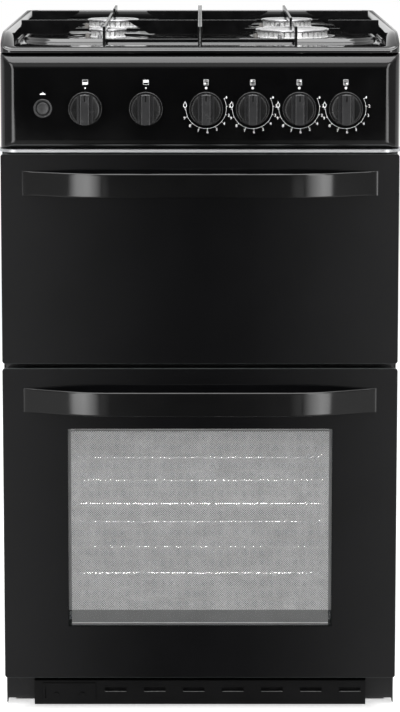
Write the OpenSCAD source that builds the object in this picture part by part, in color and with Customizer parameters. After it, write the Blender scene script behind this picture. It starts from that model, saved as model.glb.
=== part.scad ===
// Free-standing gas cooker: four hob burners, a grill and an oven, each behind its own drop-down door.
// Millimetres. +Z is up, the doors face -Y. The origin is on the floor under the middle of the overall box.
// Depths (the second number of most positions) are counted back from the faces of the doors.

/* [Body] */
// Width of the cabinet
body_w = 500; // [490:2:520]
// From the faces of the doors to the back of the rear panel
body_d = 550; // [540:5:600]
// Thickness of the pressed steel sheet
sheet = 1.5; // [1.2:0.1:1.8]
// Gap between pieces that are bolted or laid together
seat = 0.2; // [0.1:0.05:0.3]
// Depth of the front frame behind the faces of the doors
frame_s = 39; // [39:0.5:42]
// Height of the lower ends of the side panels
side_foot = 2; // [1:1:5]
// Height of the cabinet's other sheets above the lower ends of the side panels
foot_up = 6; // [4:1:8]
// Top of the base pan
base_top = 39.5; // [36:0.5:42]

/* [Feet and plinth] */
// Radius of a levelling foot
foot_r = 16; // [12:1:20]
// Height of a levelling foot's pad
foot_h = 10; // [8:1:12]
// Radius of a levelling foot's threaded stem
foot_stem_r = 4; // [3:0.5:5]
// Distance of the feet from the middle plane
foot_x = 190; // [170:5:200]
// Depth of the front feet
foot_front_s = 80; // [70:5:100]
// Distance of the rear feet from the back
foot_rear_inset = 50; // [40:5:80]
// Width of the plinth
plinth_w = 427; // [400:1:440]
// Depth of the plinth behind the faces of the doors
plinth_s = 25; // [22:1:30]
// Lower edge of the plinth
plinth_z = 4; // [3:0.5:8]
// Upper edge of the plinth
plinth_top = 35.5; // [33:0.5:36]
// Length of a cooling slot in the plinth
slot_w = 28; // [20:1:32]
// Height of a cooling slot in the plinth
slot_h = 5.8; // [4:0.2:8]
// Distance from one cooling slot to the next
slot_pitch = 50.4; // [45:0.4:52]
// Middle of the first cooling slot
slot_x = -108.8; // [-112:0.4:-104]
// Height of the cooling slots' middles
slot_z = 23.5; // [20:0.5:26]
// Number of cooling slots
slot_n = 7; // [5:1:7]
// Width of the access plate on the plinth
plate_w = 68; // [56:1:72]
// Height of the access plate
plate_h = 23; // [18:1:24]
// Distance from the middle plane to the access plate's middle
plate_x = 168.5; // [166:0.5:172]
// Distance between the access plate's screws
plate_screw_pitch = 33.5; // [30:0.5:40]

/* [Doors] */
// From a door's outer glass to the side of the body
door_side_gap = 0.5; // [0.3:0.1:5]
// Thickness of a door's outer glass
glass_t = 4; // [3:0.5:5]
// Radius of the outer glass's corners
door_corner_r = 4; // [2:1:8]
// Whole thickness of a door without its handle
door_t = 34; // [32:0.5:35]
// Lower edge of the oven door
oven_door_z = 47; // [45:1:50]
// Height of the oven door
oven_door_h = 402.3; // [396:1:410]
// Gap between the two doors
door_gap = 5.7; // [5.4:0.1:8]
// Height of the grill door
grill_door_h = 266.5; // [260:1:275]
// From a door's inner panel to the edge of its outer glass
tray_inset = 5.5; // [4.5:0.5:10]
// Height of the inner panel's lower edge above the door's lower edge
tray_foot = 8; // [8:0.5:10]
// Height of the inner panel's upper edge below the door's upper edge
tray_head = 3; // [3:0.5:6]
// Width of the oven door's window
window_w = 336; // [300:2:350]
// Lower edge of the window above the door's lower edge
window_foot = 67.6; // [64:0.4:72]
// Height of the window
window_h = 256.8; // [240:0.4:260]
// Thickness of the inner glass
inner_glass_t = 3.5; // [3:0.5:4]
// How far the inner glass laps behind the panel round the window
glass_lap = 9; // [6:1:12]

/* [Hinges] */
// Depth of the door hinges' pins
pivot_s = 14; // [13:0.5:14.5]
// Height of the pins above the door's lower edge
pivot_up = 20; // [20:0.5:22]
// Radius of a hinge pin
pin_r = 4; // [3:0.5:4.5]
// Radial running gap between a hinge pin and the door
pin_gap = 0.05; // [0.02:0.01:0.08]
// Distance of the hinge arms from the middle plane
hinge_x = 206; // [204:1:212]
// Thickness of a hinge arm
arm_t = 4; // [3:0.5:5]
// Half the height of a hinge arm
arm_r = 8; // [6:0.5:8.5]
// How far a hinge arm reaches behind the front frame
arm_tail = 36; // [25:1:45]
// Space in the door round a hinge arm
arm_gap = 1.2; // [0.8:0.1:1.4]
// Thickness of the door's cheeks that the pins run in
cheek_t = 4; // [3:0.5:5]

/* [Handles] */
// Half the length of a handle
handle_half = 223; // [200:1:235]
// Half the length of a handle's straight middle
handle_flat = 112; // [80:2:130]
// Height of a handle's strap
handle_h = 31; // [26:1:36]
// How far a handle stands in front of its door
handle_out = 30; // [26:1:36]
// Thickness of a handle's strap
handle_t = 6; // [5:0.5:8]
// Top of a handle below the top of the grill door
grill_handle_drop = 21.5; // [18:0.5:30]
// Top of a handle below the top of the oven door
oven_handle_drop = 25.3; // [18:0.5:30]

/* [Oven] */
// Inside width of both compartments
cavity_w = 372; // [360:2:380]
// Depth of the oven's back wall
oven_back = 400; // [380:5:420]
// Height of the oven's mouth above the door's lower edge
oven_mouth_up = 45; // [43:1:50]
// Height of the oven's mouth
oven_mouth_h = 308; // [300:2:312]
// Space under the oven's floor plate for the burner
burner_room = 30; // [26:1:32]
// Width of the flanges round the mouths of the compartments
liner_flange = 10; // [8:1:11]
// Thickness of the insulation
wool_t = 13; // [10:1:14]
// Thickness of the insulation over the oven
wool_top = 26; // [15:1:35]
// Radius of the oven burner's tube
oven_burner_r = 11; // [9:0.5:12]
// Length of the oven burner's tube
oven_burner_l = 300; // [260:5:320]
// Depth of the oven burner
oven_burner_s = 340; // [300:5:350]
// Height of the lower shelf above the oven's floor plate
shelf_low_up = 74; // [60:1:80]
// Distance between the two shelves
shelf_pitch = 92; // [80:1:110]

/* [Shelves] */
// Half the distance between the side bars of a shelf
shelf_half = 172; // [160:1:174]
// Depth of a shelf's front bar
shelf_s = 62; // [56:1:70]
// Depth of a shelf from its front bar to its rear bar
shelf_d = 275; // [240:5:300]
// Radius of a shelf's frame bars
shelf_bar_r = 3; // [2.5:0.1:3.2]
// Radius of a shelf's thin wires
shelf_wire_r = 1.8; // [1.5:0.1:2.2]
// Distance from one thin wire to the next
shelf_wire_pitch = 35.5; // [28:0.5:36]
// Number of thin wires
shelf_wires = 10; // [8:2:10]
// Height of the ears at a shelf's rear corners
shelf_ear = 20; // [14:1:24]
// How far the ears lean outwards
shelf_ear_lean = 4; // [0:0.5:4]
// Depth of the side racks' front uprights
rack_front_s = 75; // [66:1:90]
// Length of the side racks
rack_l = 260; // [230:5:280]

/* [Grill] */
// Depth of the grill compartment's back wall
grill_back = 380; // [360:5:395]
// Height of the grill's mouth above the door's lower edge
grill_mouth_up = 41; // [39:1:45]
// Height of the grill's mouth
grill_mouth_h = 202; // [190:2:206]
// Height of the grill pan's rim above the compartment's floor
pan_rim_up = 92; // [70:1:110]
// Depth of the grill pan's front edge
pan_s = 60; // [56:1:70]
// Depth of the grill pan from front to back
pan_d = 270; // [240:5:290]
// Height of the grill pan
pan_h = 30; // [24:1:40]
// Width of the rim that the grill pan hangs by
pan_rim = 8; // [6:1:10]
// Width of the ledges that the grill pan slides on
pan_ledge = 12; // [10:1:14]
// Number of wires in the grill pan's grid
grid_wires = 13; // [9:2:17]
// Width of the grill burner
grill_burner_w = 260; // [220:5:300]
// Depth of the grill burner from front to back
grill_burner_d = 190; // [150:5:210]
// Height of the grill burner
grill_burner_h = 15; // [12:1:18]
// Number of flame slots across the grill burner
grill_port_n = 13; // [9:2:17]

/* [Fascia] */
// Gap between the grill door and the bright strip above it
trim_gap = 2.1; // [1.5:0.1:3]
// Height of the bright strip
trim_h = 3.4; // [3:0.2:5]
// How far the bright strip stands out at each side
trim_out = 2; // [1:0.5:3]
// How far the bright strip stands out in front
trim_front = 1.5; // [1:0.5:3]
// Gap between the bright strip and the fascia
fascia_gap = 1; // [0.6:0.2:2]
// Height of the fascia
fascia_h = 118; // [112:1:124]
// Radius of the fascia's upper edge
fascia_top_r = 19; // [15:1:24]
// Radius of the fascia's ends
fascia_end_r = 20; // [15:1:24]
// Radius of the fascia's lower edge
fascia_low_r = 4; // [2:0.5:6]
// Height of the knobs' axes above the fascia's lower edge
knob_up = 50.6; // [46:0.2:56]
// Radius of the holes for the knobs
knob_hole_r = 8.5; // [8:0.5:10]

/* [Knobs] */
// Radius of a knob's flange
knob_r = 21.2; // [18:0.2:22]
// Thickness of a knob's flange
knob_flange_t = 3.4; // [3:0.2:5]
// Radius of a knob's body
knob_body_r = 18.6; // [16:0.2:19]
// Width of the bar that is gripped
grip_w = 11.5; // [9:0.5:14]
// How far a knob stands in front of the fascia
knob_out = 25; // [22:1:28]
// Gap behind a knob's flange
knob_back_gap = 4.2; // [4:0.2:5]
// How far a knob is pressed in
knob_press = 3; // [2:0.5:3]
// Radius of a tap's spindle
spindle_r = 4; // [3:0.5:5]
// Radial running gap round a spindle
spindle_gap = 0.05; // [0.02:0.01:0.08]
// Distance from a spindle's axis to its flat
spindle_flat = 3; // [2.4:0.1:3.4]
// Distance of the ignition button from the middle plane
button_x = 196; // [190:1:200]
// Radius of the ignition button
button_r = 7.75; // [6:0.25:8.5]
// How far the ignition button stands out
button_out = 3.4; // [3:0.2:5]
// Half the width of the spark generator and its switch
spark_half = 16; // [14:1:18]
// Depth of the switch's back behind the doors' faces
switch_back = 44; // [40:1:50]
// Length of the spark generator behind its switch
spark_l = 34; // [28:1:40]
// How far the ignition button is pressed in
button_press = 2.5; // [2:0.5:3]
// Outer radius of the button's bezel
bezel_r = 11.8; // [10.6:0.2:14]
// How far the bezel stands out
bezel_out = 1.8; // [1:0.2:3]
// Gap between the button and its bezel
button_gap = 0.4; // [0.2:0.1:0.8]

/* [Hob] */
// Depth of the hob's front edge
hob_s = 10; // [6:1:14]
// Height of the hob from its skirt to its rim
hob_h = 23.7; // [20:0.5:30]
// Height of the front apron above the skirt
apron_up = 7; // [6:0.2:9]
// Height of the plateau that carries the burners above the apron
plateau_h = 4.3; // [3.5:0.1:6]
// Depth of the dishes round the burners
dish_h = 3; // [2:0.1:3.4]
// Radius of the dishes at their upper edges
dish_r = 55; // [53:0.5:57]
// Width of the hob's raised rim
rim_w = 3; // [2:0.5:5]
// Depth at which the rim's sides start to fall towards the front
fall_s = 76; // [60:2:90]
// Radius of that fall
fall_r = 116; // [112:2:150]
// Radius of the hob's upright corners
hob_corner_r = 14; // [10:1:20]
// From the plateau to the side of the body
plateau_inset = 20; // [16:1:28]
// Depth of the plateau's front edge
plateau_s = 103; // [90:1:106]
// Distance from the plateau's rear edge to the back of the hob
plateau_rear = 79; // [70:1:90]
// Radius of the plateau's corners
plateau_r = 58; // [40:1:66]
// Depth of the front burners
burner_front_s = 168; // [160:2:172]
// Depth of the rear burners
burner_rear_s = 386; // [376:2:390]
// Distance of the burners from the middle plane
burner_x = 120.4; // [116:0.4:124]

/* [Burners] */
// Crown radius of the small burner
crown_small = 22; // [20:0.5:24]
// Crown radius of the two middle burners
crown_mid = 33; // [30:0.5:35]
// Crown radius of the large burner
crown_large = 45.5; // [42:0.5:47]
// How far a cap laps over its crown
cap_lap = 2.6; // [1.5:0.1:4]
// Height of a crown above its dish
crown_h = 9.5; // [8:0.5:12]
// Height of a crown's flame slots
flame_slot_h = 4; // [3:0.5:5]
// Width of a crown's flame slots
flame_slot_w = 1.8; // [1.4:0.2:2.4]
// Thickness of a cap
cap_t = 3; // [2.6:0.2:5]
// Depth of the burner cups under the hob
cup_h = 26; // [20:1:30]

/* [Pan supports] */
// Thickness of the plates
support_t = 3.2; // [2.6:0.2:4]
// Height of the plates
support_h = 18; // [15:0.5:20]
// Top of the plates above the hob's rim
support_up = 8; // [6:0.5:12]
// From the outer ends to the side of the body
support_inset = 17; // [14:1:24]
// Half the opening over the small burner
gap_small = 27; // [22:1:32]
// Half the opening over a larger burner
gap_wide = 47; // [42:1:52]
// Depth of the front legs
leg_s = 27; // [24:1:40]
// Length of a leg's foot
leg_l = 5; // [4:0.5:10]
// Height of a finger's tip beside a burner
tip_h = 2; // [2:0.5:6]
// Length over which a finger thins to its tip
tip_l = 27; // [20:1:30]
// Height of the bars that pass over a burner
bar_h = 5; // [4:0.5:7]
// Height of the low ties that hold a support together
tie_h = 3.8; // [3:0.2:5]
// Length of the full plate behind a leg
gusset_l = 42; // [36:1:50]
// From the outer ties to the side of the body
tie_inset = 25; // [22:1:35]
// Thickness of the plates in the middle
inner_t = 2.2; // [1.8:0.1:3]
// Distance between the two supports in the middle
support_split = 0.6; // [0.6:0.2:4]

/* [Gas parts] */
// Radius of the manifold
manifold_r = 8; // [7:0.5:10]
// Depth of the manifold
manifold_s = 62; // [58:1:70]
// Radius of a tap's body
tap_r = 11; // [9:0.5:12]
// Radius of the gas tubes
tube_r = 3.5; // [3:0.5:4]
// From the feed pipe to the side of the body
feed_inset = 28; // [22:1:34]
// Radius of the inlet's threaded end, for a half inch pipe thread
inlet_r = 10.48; // [10.48:0.01:10.5]
// Length of the inlet's threaded end
inlet_l = 17; // [15:1:20]
// How far the inlet stands behind the rear panel
inlet_out = 20; // [18:1:24]
// Radius of the holes for the stability bracket
bracket_hole_r = 2.6; // [2:0.2:4]
// Distance between the stability bracket's holes
bracket_pitch = 200; // [150:10:260]
// Height of the stability bracket's holes
bracket_z = 120; // [90:5:200]

/* [Hidden] */
$fn = 48;

over = 1;                                   // how far a cut runs past the faces that it cuts
front_y = (handle_out - body_d - inlet_out) / 2;
half = body_w / 2;
door_w = body_w - 2 * door_side_gap;
tray_w = door_w - 2 * tray_inset;
plateau_half = half - plateau_inset;
support_half = half - support_inset;
tie_x = half - tie_inset;
feed_x = half - feed_inset;
inner_half = half - sheet;
frame_back = frame_s + sheet;
rear_s = body_d - sheet;                    // front face of the rear panel

oven_door_top = oven_door_z + oven_door_h;
grill_door_z = oven_door_top + door_gap;
grill_door_top = grill_door_z + grill_door_h;
trim_z = grill_door_top + trim_gap;
fascia_z = trim_z + trim_h + fascia_gap;
fascia_top = fascia_z + fascia_h;
hob_z = fascia_top + 1.3;                   // lower edge of the hob's skirt
rim_z = hob_z + hob_h;
apron_z = hob_z + apron_up;
plateau_z = apron_z + plateau_h;
dish_z = plateau_z - dish_h;
side_top = hob_z - 0.3;
hob_back = body_d - 1;                      // rear edge of the hob
support_top = rim_z + support_up;

oven_pivot_z = oven_door_z + pivot_up;
grill_pivot_z = grill_door_z + pivot_up;
tray_half = tray_w / 2;
notch_half = arm_t / 2 + arm_gap;
pin_half = notch_half + cheek_t;

oven_mouth_z = oven_door_z + oven_mouth_up;
oven_mouth_top = oven_mouth_z + oven_mouth_h;
oven_floor_z = oven_mouth_z - burner_room;
floor_plate_z = oven_mouth_z - 3.5;
ledge_w = 10;
grill_mouth_z = grill_door_z + grill_mouth_up;
grill_mouth_top = grill_mouth_z + grill_mouth_h;
cavity_half = cavity_w / 2;
seal_w = 7;
seal_room = 2;                              // between a mouth and its seal

shelf_low_z = oven_mouth_z + shelf_low_up;
shelf_high_z = shelf_low_z + shelf_pitch;
rack_x = cavity_half - shelf_bar_r - seat;  // uprights of the side racks
rung_x = shelf_half + 2;
rung_drop = sqrt(pow(2 * shelf_bar_r + 0.3, 2) - pow(rung_x - shelf_half, 2));

pan_rim_z = grill_mouth_z + pan_rim_up;
pan_half = cavity_half - pan_ledge - 1;     // outside of the grill pan's walls
pan_t = 1.2;
grill_burner_s = pan_s + 50;
grill_burner_top = grill_mouth_top - 10;
grill_burner_z = grill_burner_top - grill_burner_h;

knob_z = fascia_z + knob_up;
knob_xs = [-143, -67.3, 7.6, 65.6, 123.7, 181.7];
tray_top = trim_z - 6;                      // top of the control tray
tap_front = 12;
tap_back = manifold_s - manifold_r - seat;
outlet_s = tap_back - 8;
outlet_top = knob_z + 20;
low_run = knob_z + 27;                      // height of the tubes to the oven and the grill
high_run = low_run + 2 * tube_r + 4;        // height of the tubes to the hob
flue_half = 45;
flue_d = 30;
flue_top = side_top - 30;                   // top of the flue duct
cup_z = dish_z - sheet - cup_h;
feed_z = knob_z - 10;
inlet_s = rear_s - 30;                      // front end of the inlet

sensor_angles = [200, 250];                 // of the spark electrode and the flame sensor round each burner
pin_out = 5.5;                              // their distance from the crown

// Side, depth, crown radius and number of flame slots of each burner: the small one first, then clockwise
BURNERS = [
    [-burner_x, burner_front_s, crown_small, 20],
    [-burner_x, burner_rear_s, crown_mid, 28],
    [burner_x, burner_rear_s, crown_mid, 28],
    [burner_x, burner_front_s, crown_large, 36],
];

// Shared shapes

// A block between two corners
module block(lo, hi) {
    translate([lo[0], front_y + lo[1], lo[2]]) cube(hi - lo);
}

// A round bar across the cooker
module bar_x(x0, x1, s, z, r) {
    translate([x0, front_y + s, z]) rotate([0, 90, 0]) cylinder(r = r, h = x1 - x0);
}

// A round bar from front to back
module bar_y(x, s0, s1, z, r) {
    translate([x, front_y + s0, z]) rotate([-90, 0, 0]) cylinder(r = r, h = s1 - s0);
}

// An upright round bar
module bar_z(x, s, z0, z1, r) {
    translate([x, front_y + s, z0]) cylinder(r = r, h = z1 - z0);
}

// A round rod between any two points
module rod(a, b, r) {
    v = b - a;
    translate(a + [0, front_y, 0])
        rotate([0, acos(v[2] / norm(v)), atan2(v[1], v[0])]) cylinder(r = r, h = norm(v));
}

// A tube that runs through a list of points, with a swelling at each bend
module tube_run(points, r) {
    for (i = [0 : len(points) - 2]) rod(points[i], points[i + 1], r);
    for (i = [1 : len(points) - 2]) translate(points[i] + [0, front_y, 0]) sphere(r = r + 0.5);
}

// A rectangle with rounded corners
module rounded(w, h, r) {
    square([w, h - 2 * r], center = true);
    square([w - 2 * r, h], center = true);
    for (x = [-1, 1], y = [-1, 1]) translate([x * (w / 2 - r), y * (h / 2 - r)]) circle(r = r);
}

// A front view outline given thickness between two depths
module upright(s0, s1) {
    translate([0, front_y + s1, 0]) rotate([90, 0, 0]) linear_extrude(s1 - s0) children();
}

// A side view outline given width between two sides
module across(x0, x1) {
    translate([x0, front_y, 0]) rotate([90, 0, 90]) linear_extrude(x1 - x0) children();
}

// A plan outline given height between two levels
module level(z0, z1) {
    translate([0, front_y, z0]) linear_extrude(z1 - z0) children();
}

// The same thing on both sides
module both_sides() {
    children();
    mirror([1, 0, 0]) children();
}

// Cabinet

module side_panel() {
    block([inner_half, frame_s, side_foot], [half, rear_s - seat, side_top]);
    block([plinth_w / 2 + seat, frame_s, side_foot + foot_up],
        [inner_half + 0.5, frame_back, base_top - sheet - 1]);
    block([inner_half - 14, frame_back + 60, side_top - sheet], [inner_half + 0.5, rear_s - 40, side_top]);
}

module side_panel_left() color("#17181a") mirror([1, 0, 0]) side_panel();
module side_panel_right() color("#17181a") side_panel();

module rear_panel() color("#8f9396") difference() {
    block([-inner_half, rear_s, side_foot + foot_up + 12], [inner_half, body_d, side_top]);
    bar_y(feed_x, rear_s - over, body_d + over, feed_z, inlet_r + 0.6);
    for (x = [-1, 1]) bar_y(x * bracket_pitch / 2, rear_s - over, body_d + over, bracket_z, bracket_hole_r);
    for (i = [-3 : 3], z = [oven_mouth_z + 108, grill_mouth_z - 26, grill_mouth_top + 2])
        block([i * 44 - 15, rear_s - over, z], [i * 44 + 15, body_d + over, z + 5]);
    for (i = [-1 : 1], z = [flue_top - 12, flue_top - 24])
        block([i * 28 - 11, rear_s - over, z], [i * 28 + 11, body_d + over, z + 6]);
}

module base_pan() color("#8f9396") difference() {
    union() {
        block([-inner_half + seat, frame_back + seat, base_top - sheet],
            [inner_half - seat, rear_s - seat, base_top]);
        block([-inner_half + 19, frame_back + seat, side_foot + foot_up + 6],
            [inner_half - 19, frame_back + 2 * sheet, base_top]);
        for (x = [-foot_x, foot_x], s = [foot_front_s, body_d - foot_rear_inset])
            bar_z(x, s, base_top - 16, base_top - sheet / 2, foot_stem_r + 5);
    }
    for (x = [-foot_x, foot_x], s = [foot_front_s, body_d - foot_rear_inset])
        bar_z(x, s, base_top - 17, base_top + over, foot_stem_r + 0.05);
}

module levelling_feet() color("#1c1c1c") {
    for (x = [-foot_x, foot_x], s = [foot_front_s, body_d - foot_rear_inset]) {
        bar_z(x, s, 0, foot_h, foot_r);
        bar_z(x, s, foot_h - over, base_top + 8, foot_stem_r);
    }
}

module plinth() color("#1b1c1e") difference() {
    union() {
        block([-plinth_w / 2, plinth_s, plinth_z], [plinth_w / 2, plinth_s + sheet, plinth_top]);
        block([-plinth_w / 2, plinth_s, plinth_top - sheet], [plinth_w / 2, frame_back, plinth_top]);
    }
    for (i = [0 : slot_n - 1])
        block([slot_x + i * slot_pitch - slot_w / 2, plinth_s - over, slot_z - slot_h / 2],
            [slot_x + i * slot_pitch + slot_w / 2, plinth_s + sheet + over, slot_z + slot_h / 2]);
    for (i = [-1, 1])
        bar_y(-plate_x + i * plate_screw_pitch / 2, plinth_s - over, plinth_s + sheet + over,
            plinth_z + 13.2, 2.1);
}

module plinth_plate() color("#222325") difference() {
    block([-plate_x - plate_w / 2, plinth_s - sheet - seat, plinth_z + 5.4],
        [-plate_x + plate_w / 2, plinth_s - seat, plinth_z + 5.4 + plate_h]);
    for (i = [-1, 1])
        bar_y(-plate_x + i * plate_screw_pitch / 2, plinth_s - 4, plinth_s + over, plinth_z + 13.2, 2.1);
    block([-plate_x - plate_w / 2 + 2.6, plinth_s - 4, plinth_z + 9],
        [-plate_x - plate_w / 2 + 4.4, plinth_s, plinth_z + 23]);
}

module plinth_screws() color("#606366") {
    for (i = [-1, 1]) {
        bar_y(-plate_x + i * plate_screw_pitch / 2, plinth_s - sheet - 2 * seat - 1.6,
            plinth_s - sheet - 2 * seat, plinth_z + 13.2, 3.4);
        bar_y(-plate_x + i * plate_screw_pitch / 2, plinth_s - sheet - 1, plinth_s + 8, plinth_z + 13.2, 1.9);
    }
}

module front_frame() color("#141516") difference() {
    block([-inner_half + seat, frame_s, base_top - sheet], [inner_half - seat, frame_back, tray_top + sheet]);
    block([-cavity_half, frame_s - over, oven_mouth_z], [cavity_half, frame_back + over, oven_mouth_top]);
    block([-cavity_half, frame_s - over, grill_mouth_z], [cavity_half, frame_back + over, grill_mouth_top]);
    both_sides() for (z = [oven_pivot_z, grill_pivot_z])
        block([hinge_x - arm_t / 2 - seat, frame_s - over, z - arm_r - seat],
            [hinge_x + arm_t / 2 + seat, frame_back + over, z + arm_r + seat]);
}

module control_tray() color("#8f9396") {
    block([-inner_half + seat, frame_back + seat, tray_top - sheet],
        [inner_half - seat, grill_back + 15, tray_top]);
    both_sides() block([inner_half - 3, frame_back + seat, tray_top - sheet],
        [inner_half - seat, grill_back + 15, tray_top + 12]);
}

// Fascia

// Side view of the fascia, drawn in by t
module fascia_profile(t) {
    difference() {
        union() {
            translate([t, fascia_z + t]) square([frame_s - 2 * t, fascia_h - 2 * t - fascia_top_r + t]);
            translate([fascia_top_r, fascia_z + t]) square([frame_s - fascia_top_r - t, fascia_h - 2 * t]);
            translate([fascia_top_r, fascia_top - fascia_top_r]) circle(r = fascia_top_r - t);
        }
        translate([t - over, fascia_z + t - over]) square([fascia_low_r - t + over, fascia_low_r - t + over]);
    }
    translate([fascia_low_r, fascia_z + fascia_low_r]) circle(r = fascia_low_r - t);
}

// Plan view of the fascia, drawn in by t
module fascia_plan(t) {
    translate([-half + t, fascia_end_r]) square([body_w - 2 * t, frame_s - fascia_end_r - t]);
    translate([-half + fascia_end_r, t]) square([body_w - 2 * fascia_end_r, frame_s - 2 * t]);
    for (x = [-1, 1]) translate([x * (half - fascia_end_r), fascia_end_r]) circle(r = fascia_end_r - t);
}

module fascia_form(t) {
    intersection() {
        across(-half + t, half - t) fascia_profile(t);
        level(fascia_z + t, fascia_top - t) fascia_plan(t);
    }
}

module fascia() color("#0e0f10") difference() {
    fascia_form(0);
    fascia_form(sheet);
    block([-half - over, frame_s - sheet - seat, fascia_z - over],
        [half + over, frame_s + over, fascia_top + over]);
    for (x = knob_xs) bar_y(x, -over, 2 * sheet, knob_z, knob_hole_r);
    bar_y(-button_x, -over, 2 * sheet, knob_z, button_r + button_gap + 1.7);
}

module fascia_trim() color("#c9ccd0") difference() {
    level(trim_z, trim_z + trim_h) {
        translate([-half - trim_out, fascia_end_r]) square([body_w + 2 * trim_out,
            frame_s - seat - fascia_end_r]);
        translate([-half + fascia_end_r, -trim_front]) square([body_w - 2 * fascia_end_r,
            frame_s - seat + trim_front]);
        for (x = [-1, 1]) translate([x * (half - fascia_end_r), fascia_end_r])
            circle(r = fascia_end_r + trim_out - 0.01);
    }
    block([-half + 8, 8, trim_z + sheet], [half - 8, frame_s + over, trim_z + trim_h + over]);
}

// Hob

// Side view of the hob's rim, drawn in by t
module hob_profile(t) {
    translate([fall_s, hob_z - over]) square([hob_back - fall_s - t, hob_h + over - t]);
    intersection() {
        translate([fall_s, rim_z - fall_r]) circle(r = fall_r - t, $fn = 180);
        translate([hob_s + t, hob_z - over]) square([fall_s - hob_s - t, hob_h + over]);
    }
}

// Plan view of the basin inside the rim, open at the front
module basin_plan() {
    inner = half - rim_w;
    r = hob_corner_r - rim_w;
    translate([-inner, -over]) square([2 * inner, hob_back - rim_w - r + over]);
    translate([-inner + r, -over]) square([2 * (inner - r), hob_back - rim_w + over]);
    for (x = [-1, 1]) translate([x * (inner - r), hob_back - rim_w - r]) circle(r = r);
}

module plateau_plan() {
    back = hob_back - plateau_rear;
    translate([0, (plateau_s + back) / 2]) rounded(2 * plateau_half, back - plateau_s, plateau_r);
}

module hob_plan() {
    translate([-half, hob_s + hob_corner_r]) square([body_w, hob_back - hob_s - 2 * hob_corner_r]);
    translate([-half + hob_corner_r, hob_s]) square([body_w - 2 * hob_corner_r, hob_back - hob_s]);
    for (x = [-1, 1], s = [hob_s + hob_corner_r, hob_back - hob_corner_r])
        translate([x * (half - hob_corner_r), s]) circle(r = hob_corner_r);
}

module hob_top() color("#101112") difference() {
    union() {
        difference() {
            intersection() {
                across(-half, half) hob_profile(0);
                level(hob_z, rim_z) hob_plan();
            }
            level(apron_z, rim_z + over) basin_plan();
        }
        level(apron_z - over, plateau_z) plateau_plan();
    }
    for (b = BURNERS) translate([b[0], front_y + b[1], dish_z])
        cylinder(r1 = b[2] + 6, r2 = dish_r, h = dish_h + 0.01);
    block([-half + sheet, hob_s + hob_corner_r, hob_z - over],
        [half - sheet, hob_back - hob_corner_r, apron_z - sheet]);
    level(hob_z - over, apron_z) translate([0, (plateau_s + hob_back - plateau_rear) / 2])
        rounded(2 * plateau_half - 4, hob_back - plateau_rear - plateau_s - 4, plateau_r - 2);
    block([-half + fascia_end_r, -over, hob_z - over], [half - fascia_end_r, frame_s, hob_z + 2.2]);
    for (b = BURNERS) bar_z(b[0], b[1], hob_z - over, plateau_z + over, b[2] - 6);
    for (b = BURNERS, a = sensor_angles)
        bar_z(b[0] + (b[2] + pin_out) * cos(a), b[1] + (b[2] + pin_out) * sin(a), hob_z - over,
            plateau_z + over, 3.1);
}

// Burners

module burner_cups() color("#b9bcbe") for (b = BURNERS) {
    bar_z(b[0], b[1], cup_z, apron_z - seat, b[2] - 2);
    bar_z(b[0], b[1], apron_z - seat - over, dish_z + seat, b[2] - 6.5);
}

module burner_crowns() color("#d9dbdc") for (b = BURNERS) difference() {
    union() {
        bar_z(b[0], b[1], dish_z + 2 * seat, dish_z + 2.6, b[2] + 1.6);
        bar_z(b[0], b[1], dish_z + 2, dish_z + crown_h, b[2]);
    }
    for (i = [0 : b[3] - 1]) translate([b[0], front_y + b[1], dish_z + crown_h - flame_slot_h])
        rotate([0, 0, (i + 0.5) * 360 / b[3]]) translate([b[2] - 7, -flame_slot_w / 2, 0])
            cube([9, flame_slot_w, 9]);
    bar_z(b[0], b[1], dish_z + crown_h - flame_slot_h, dish_z + crown_h + over, b[2] - 6);
}

module burner_caps() color("#5c5f62") for (b = BURNERS) translate([b[0], front_y + b[1],
    dish_z + crown_h + seat])
    rotate_extrude() {
        r = b[2] + cap_lap;
        square([r - cap_t / 2, cap_t]);
        translate([r - cap_t / 2, cap_t / 2]) circle(r = cap_t / 2 - 0.01, $fn = 32);
        translate([0, -2]) square([b[2] - 9, 3]);
    }

module spark_electrodes() for (b = BURNERS) {
    x = b[0] + (b[2] + pin_out) * cos(sensor_angles[0]);
    s = b[1] + (b[2] + pin_out) * sin(sensor_angles[0]);
    color("#e9e6de") bar_z(x, s, dish_z - 14, dish_z + 6.5, 2.9);
    color("#9a9da0") bar_z(x, s, dish_z + 6, dish_z + crown_h - 2.4, 1);
}

module flame_sensors() color("#8a6f4a") for (b = BURNERS) {
    x = b[0] + (b[2] + pin_out) * cos(sensor_angles[1]);
    s = b[1] + (b[2] + pin_out) * sin(sensor_angles[1]);
    bar_z(x, s, dish_z - 16, dish_z + 5, 2.9);
    bar_z(x, s, dish_z + 4, dish_z + crown_h - 2.4, 1.6);
}

// Pan supports: each is four fingers to a burner, a plate along the middle and low ties

support_low = support_top - support_h;
leg_z = apron_z + seat;
rear_leg_s = burner_front_s + burner_rear_s - leg_s;
inner_x = (support_split + inner_t) / 2;
tie_back = cap_lap + 6;                     // from a crown's edge to the tie behind it

// A finger across the cooker that thins to its tip at x1
module finger(x0, x1, s) {
    shoulder = x1 > x0 ? x1 - tip_l : x1 + tip_l;
    upright(s - support_t / 2, s + support_t / 2)
        polygon([[x0, support_low], [shoulder, support_low], [x1, support_top - tip_h], [x1, support_top],
            [x0, support_top]]);
}

// A plate from front to back
module plate_y(x, s0, s1, z0, z1) block([x - support_t / 2, s0, z0], [x + support_t / 2, s1, z1]);

// A low tie across the cooker
module tie(x1, s, z) block([inner_x, s - support_t / 2, z], [x1, s + support_t / 2, z + tie_h]);

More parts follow.
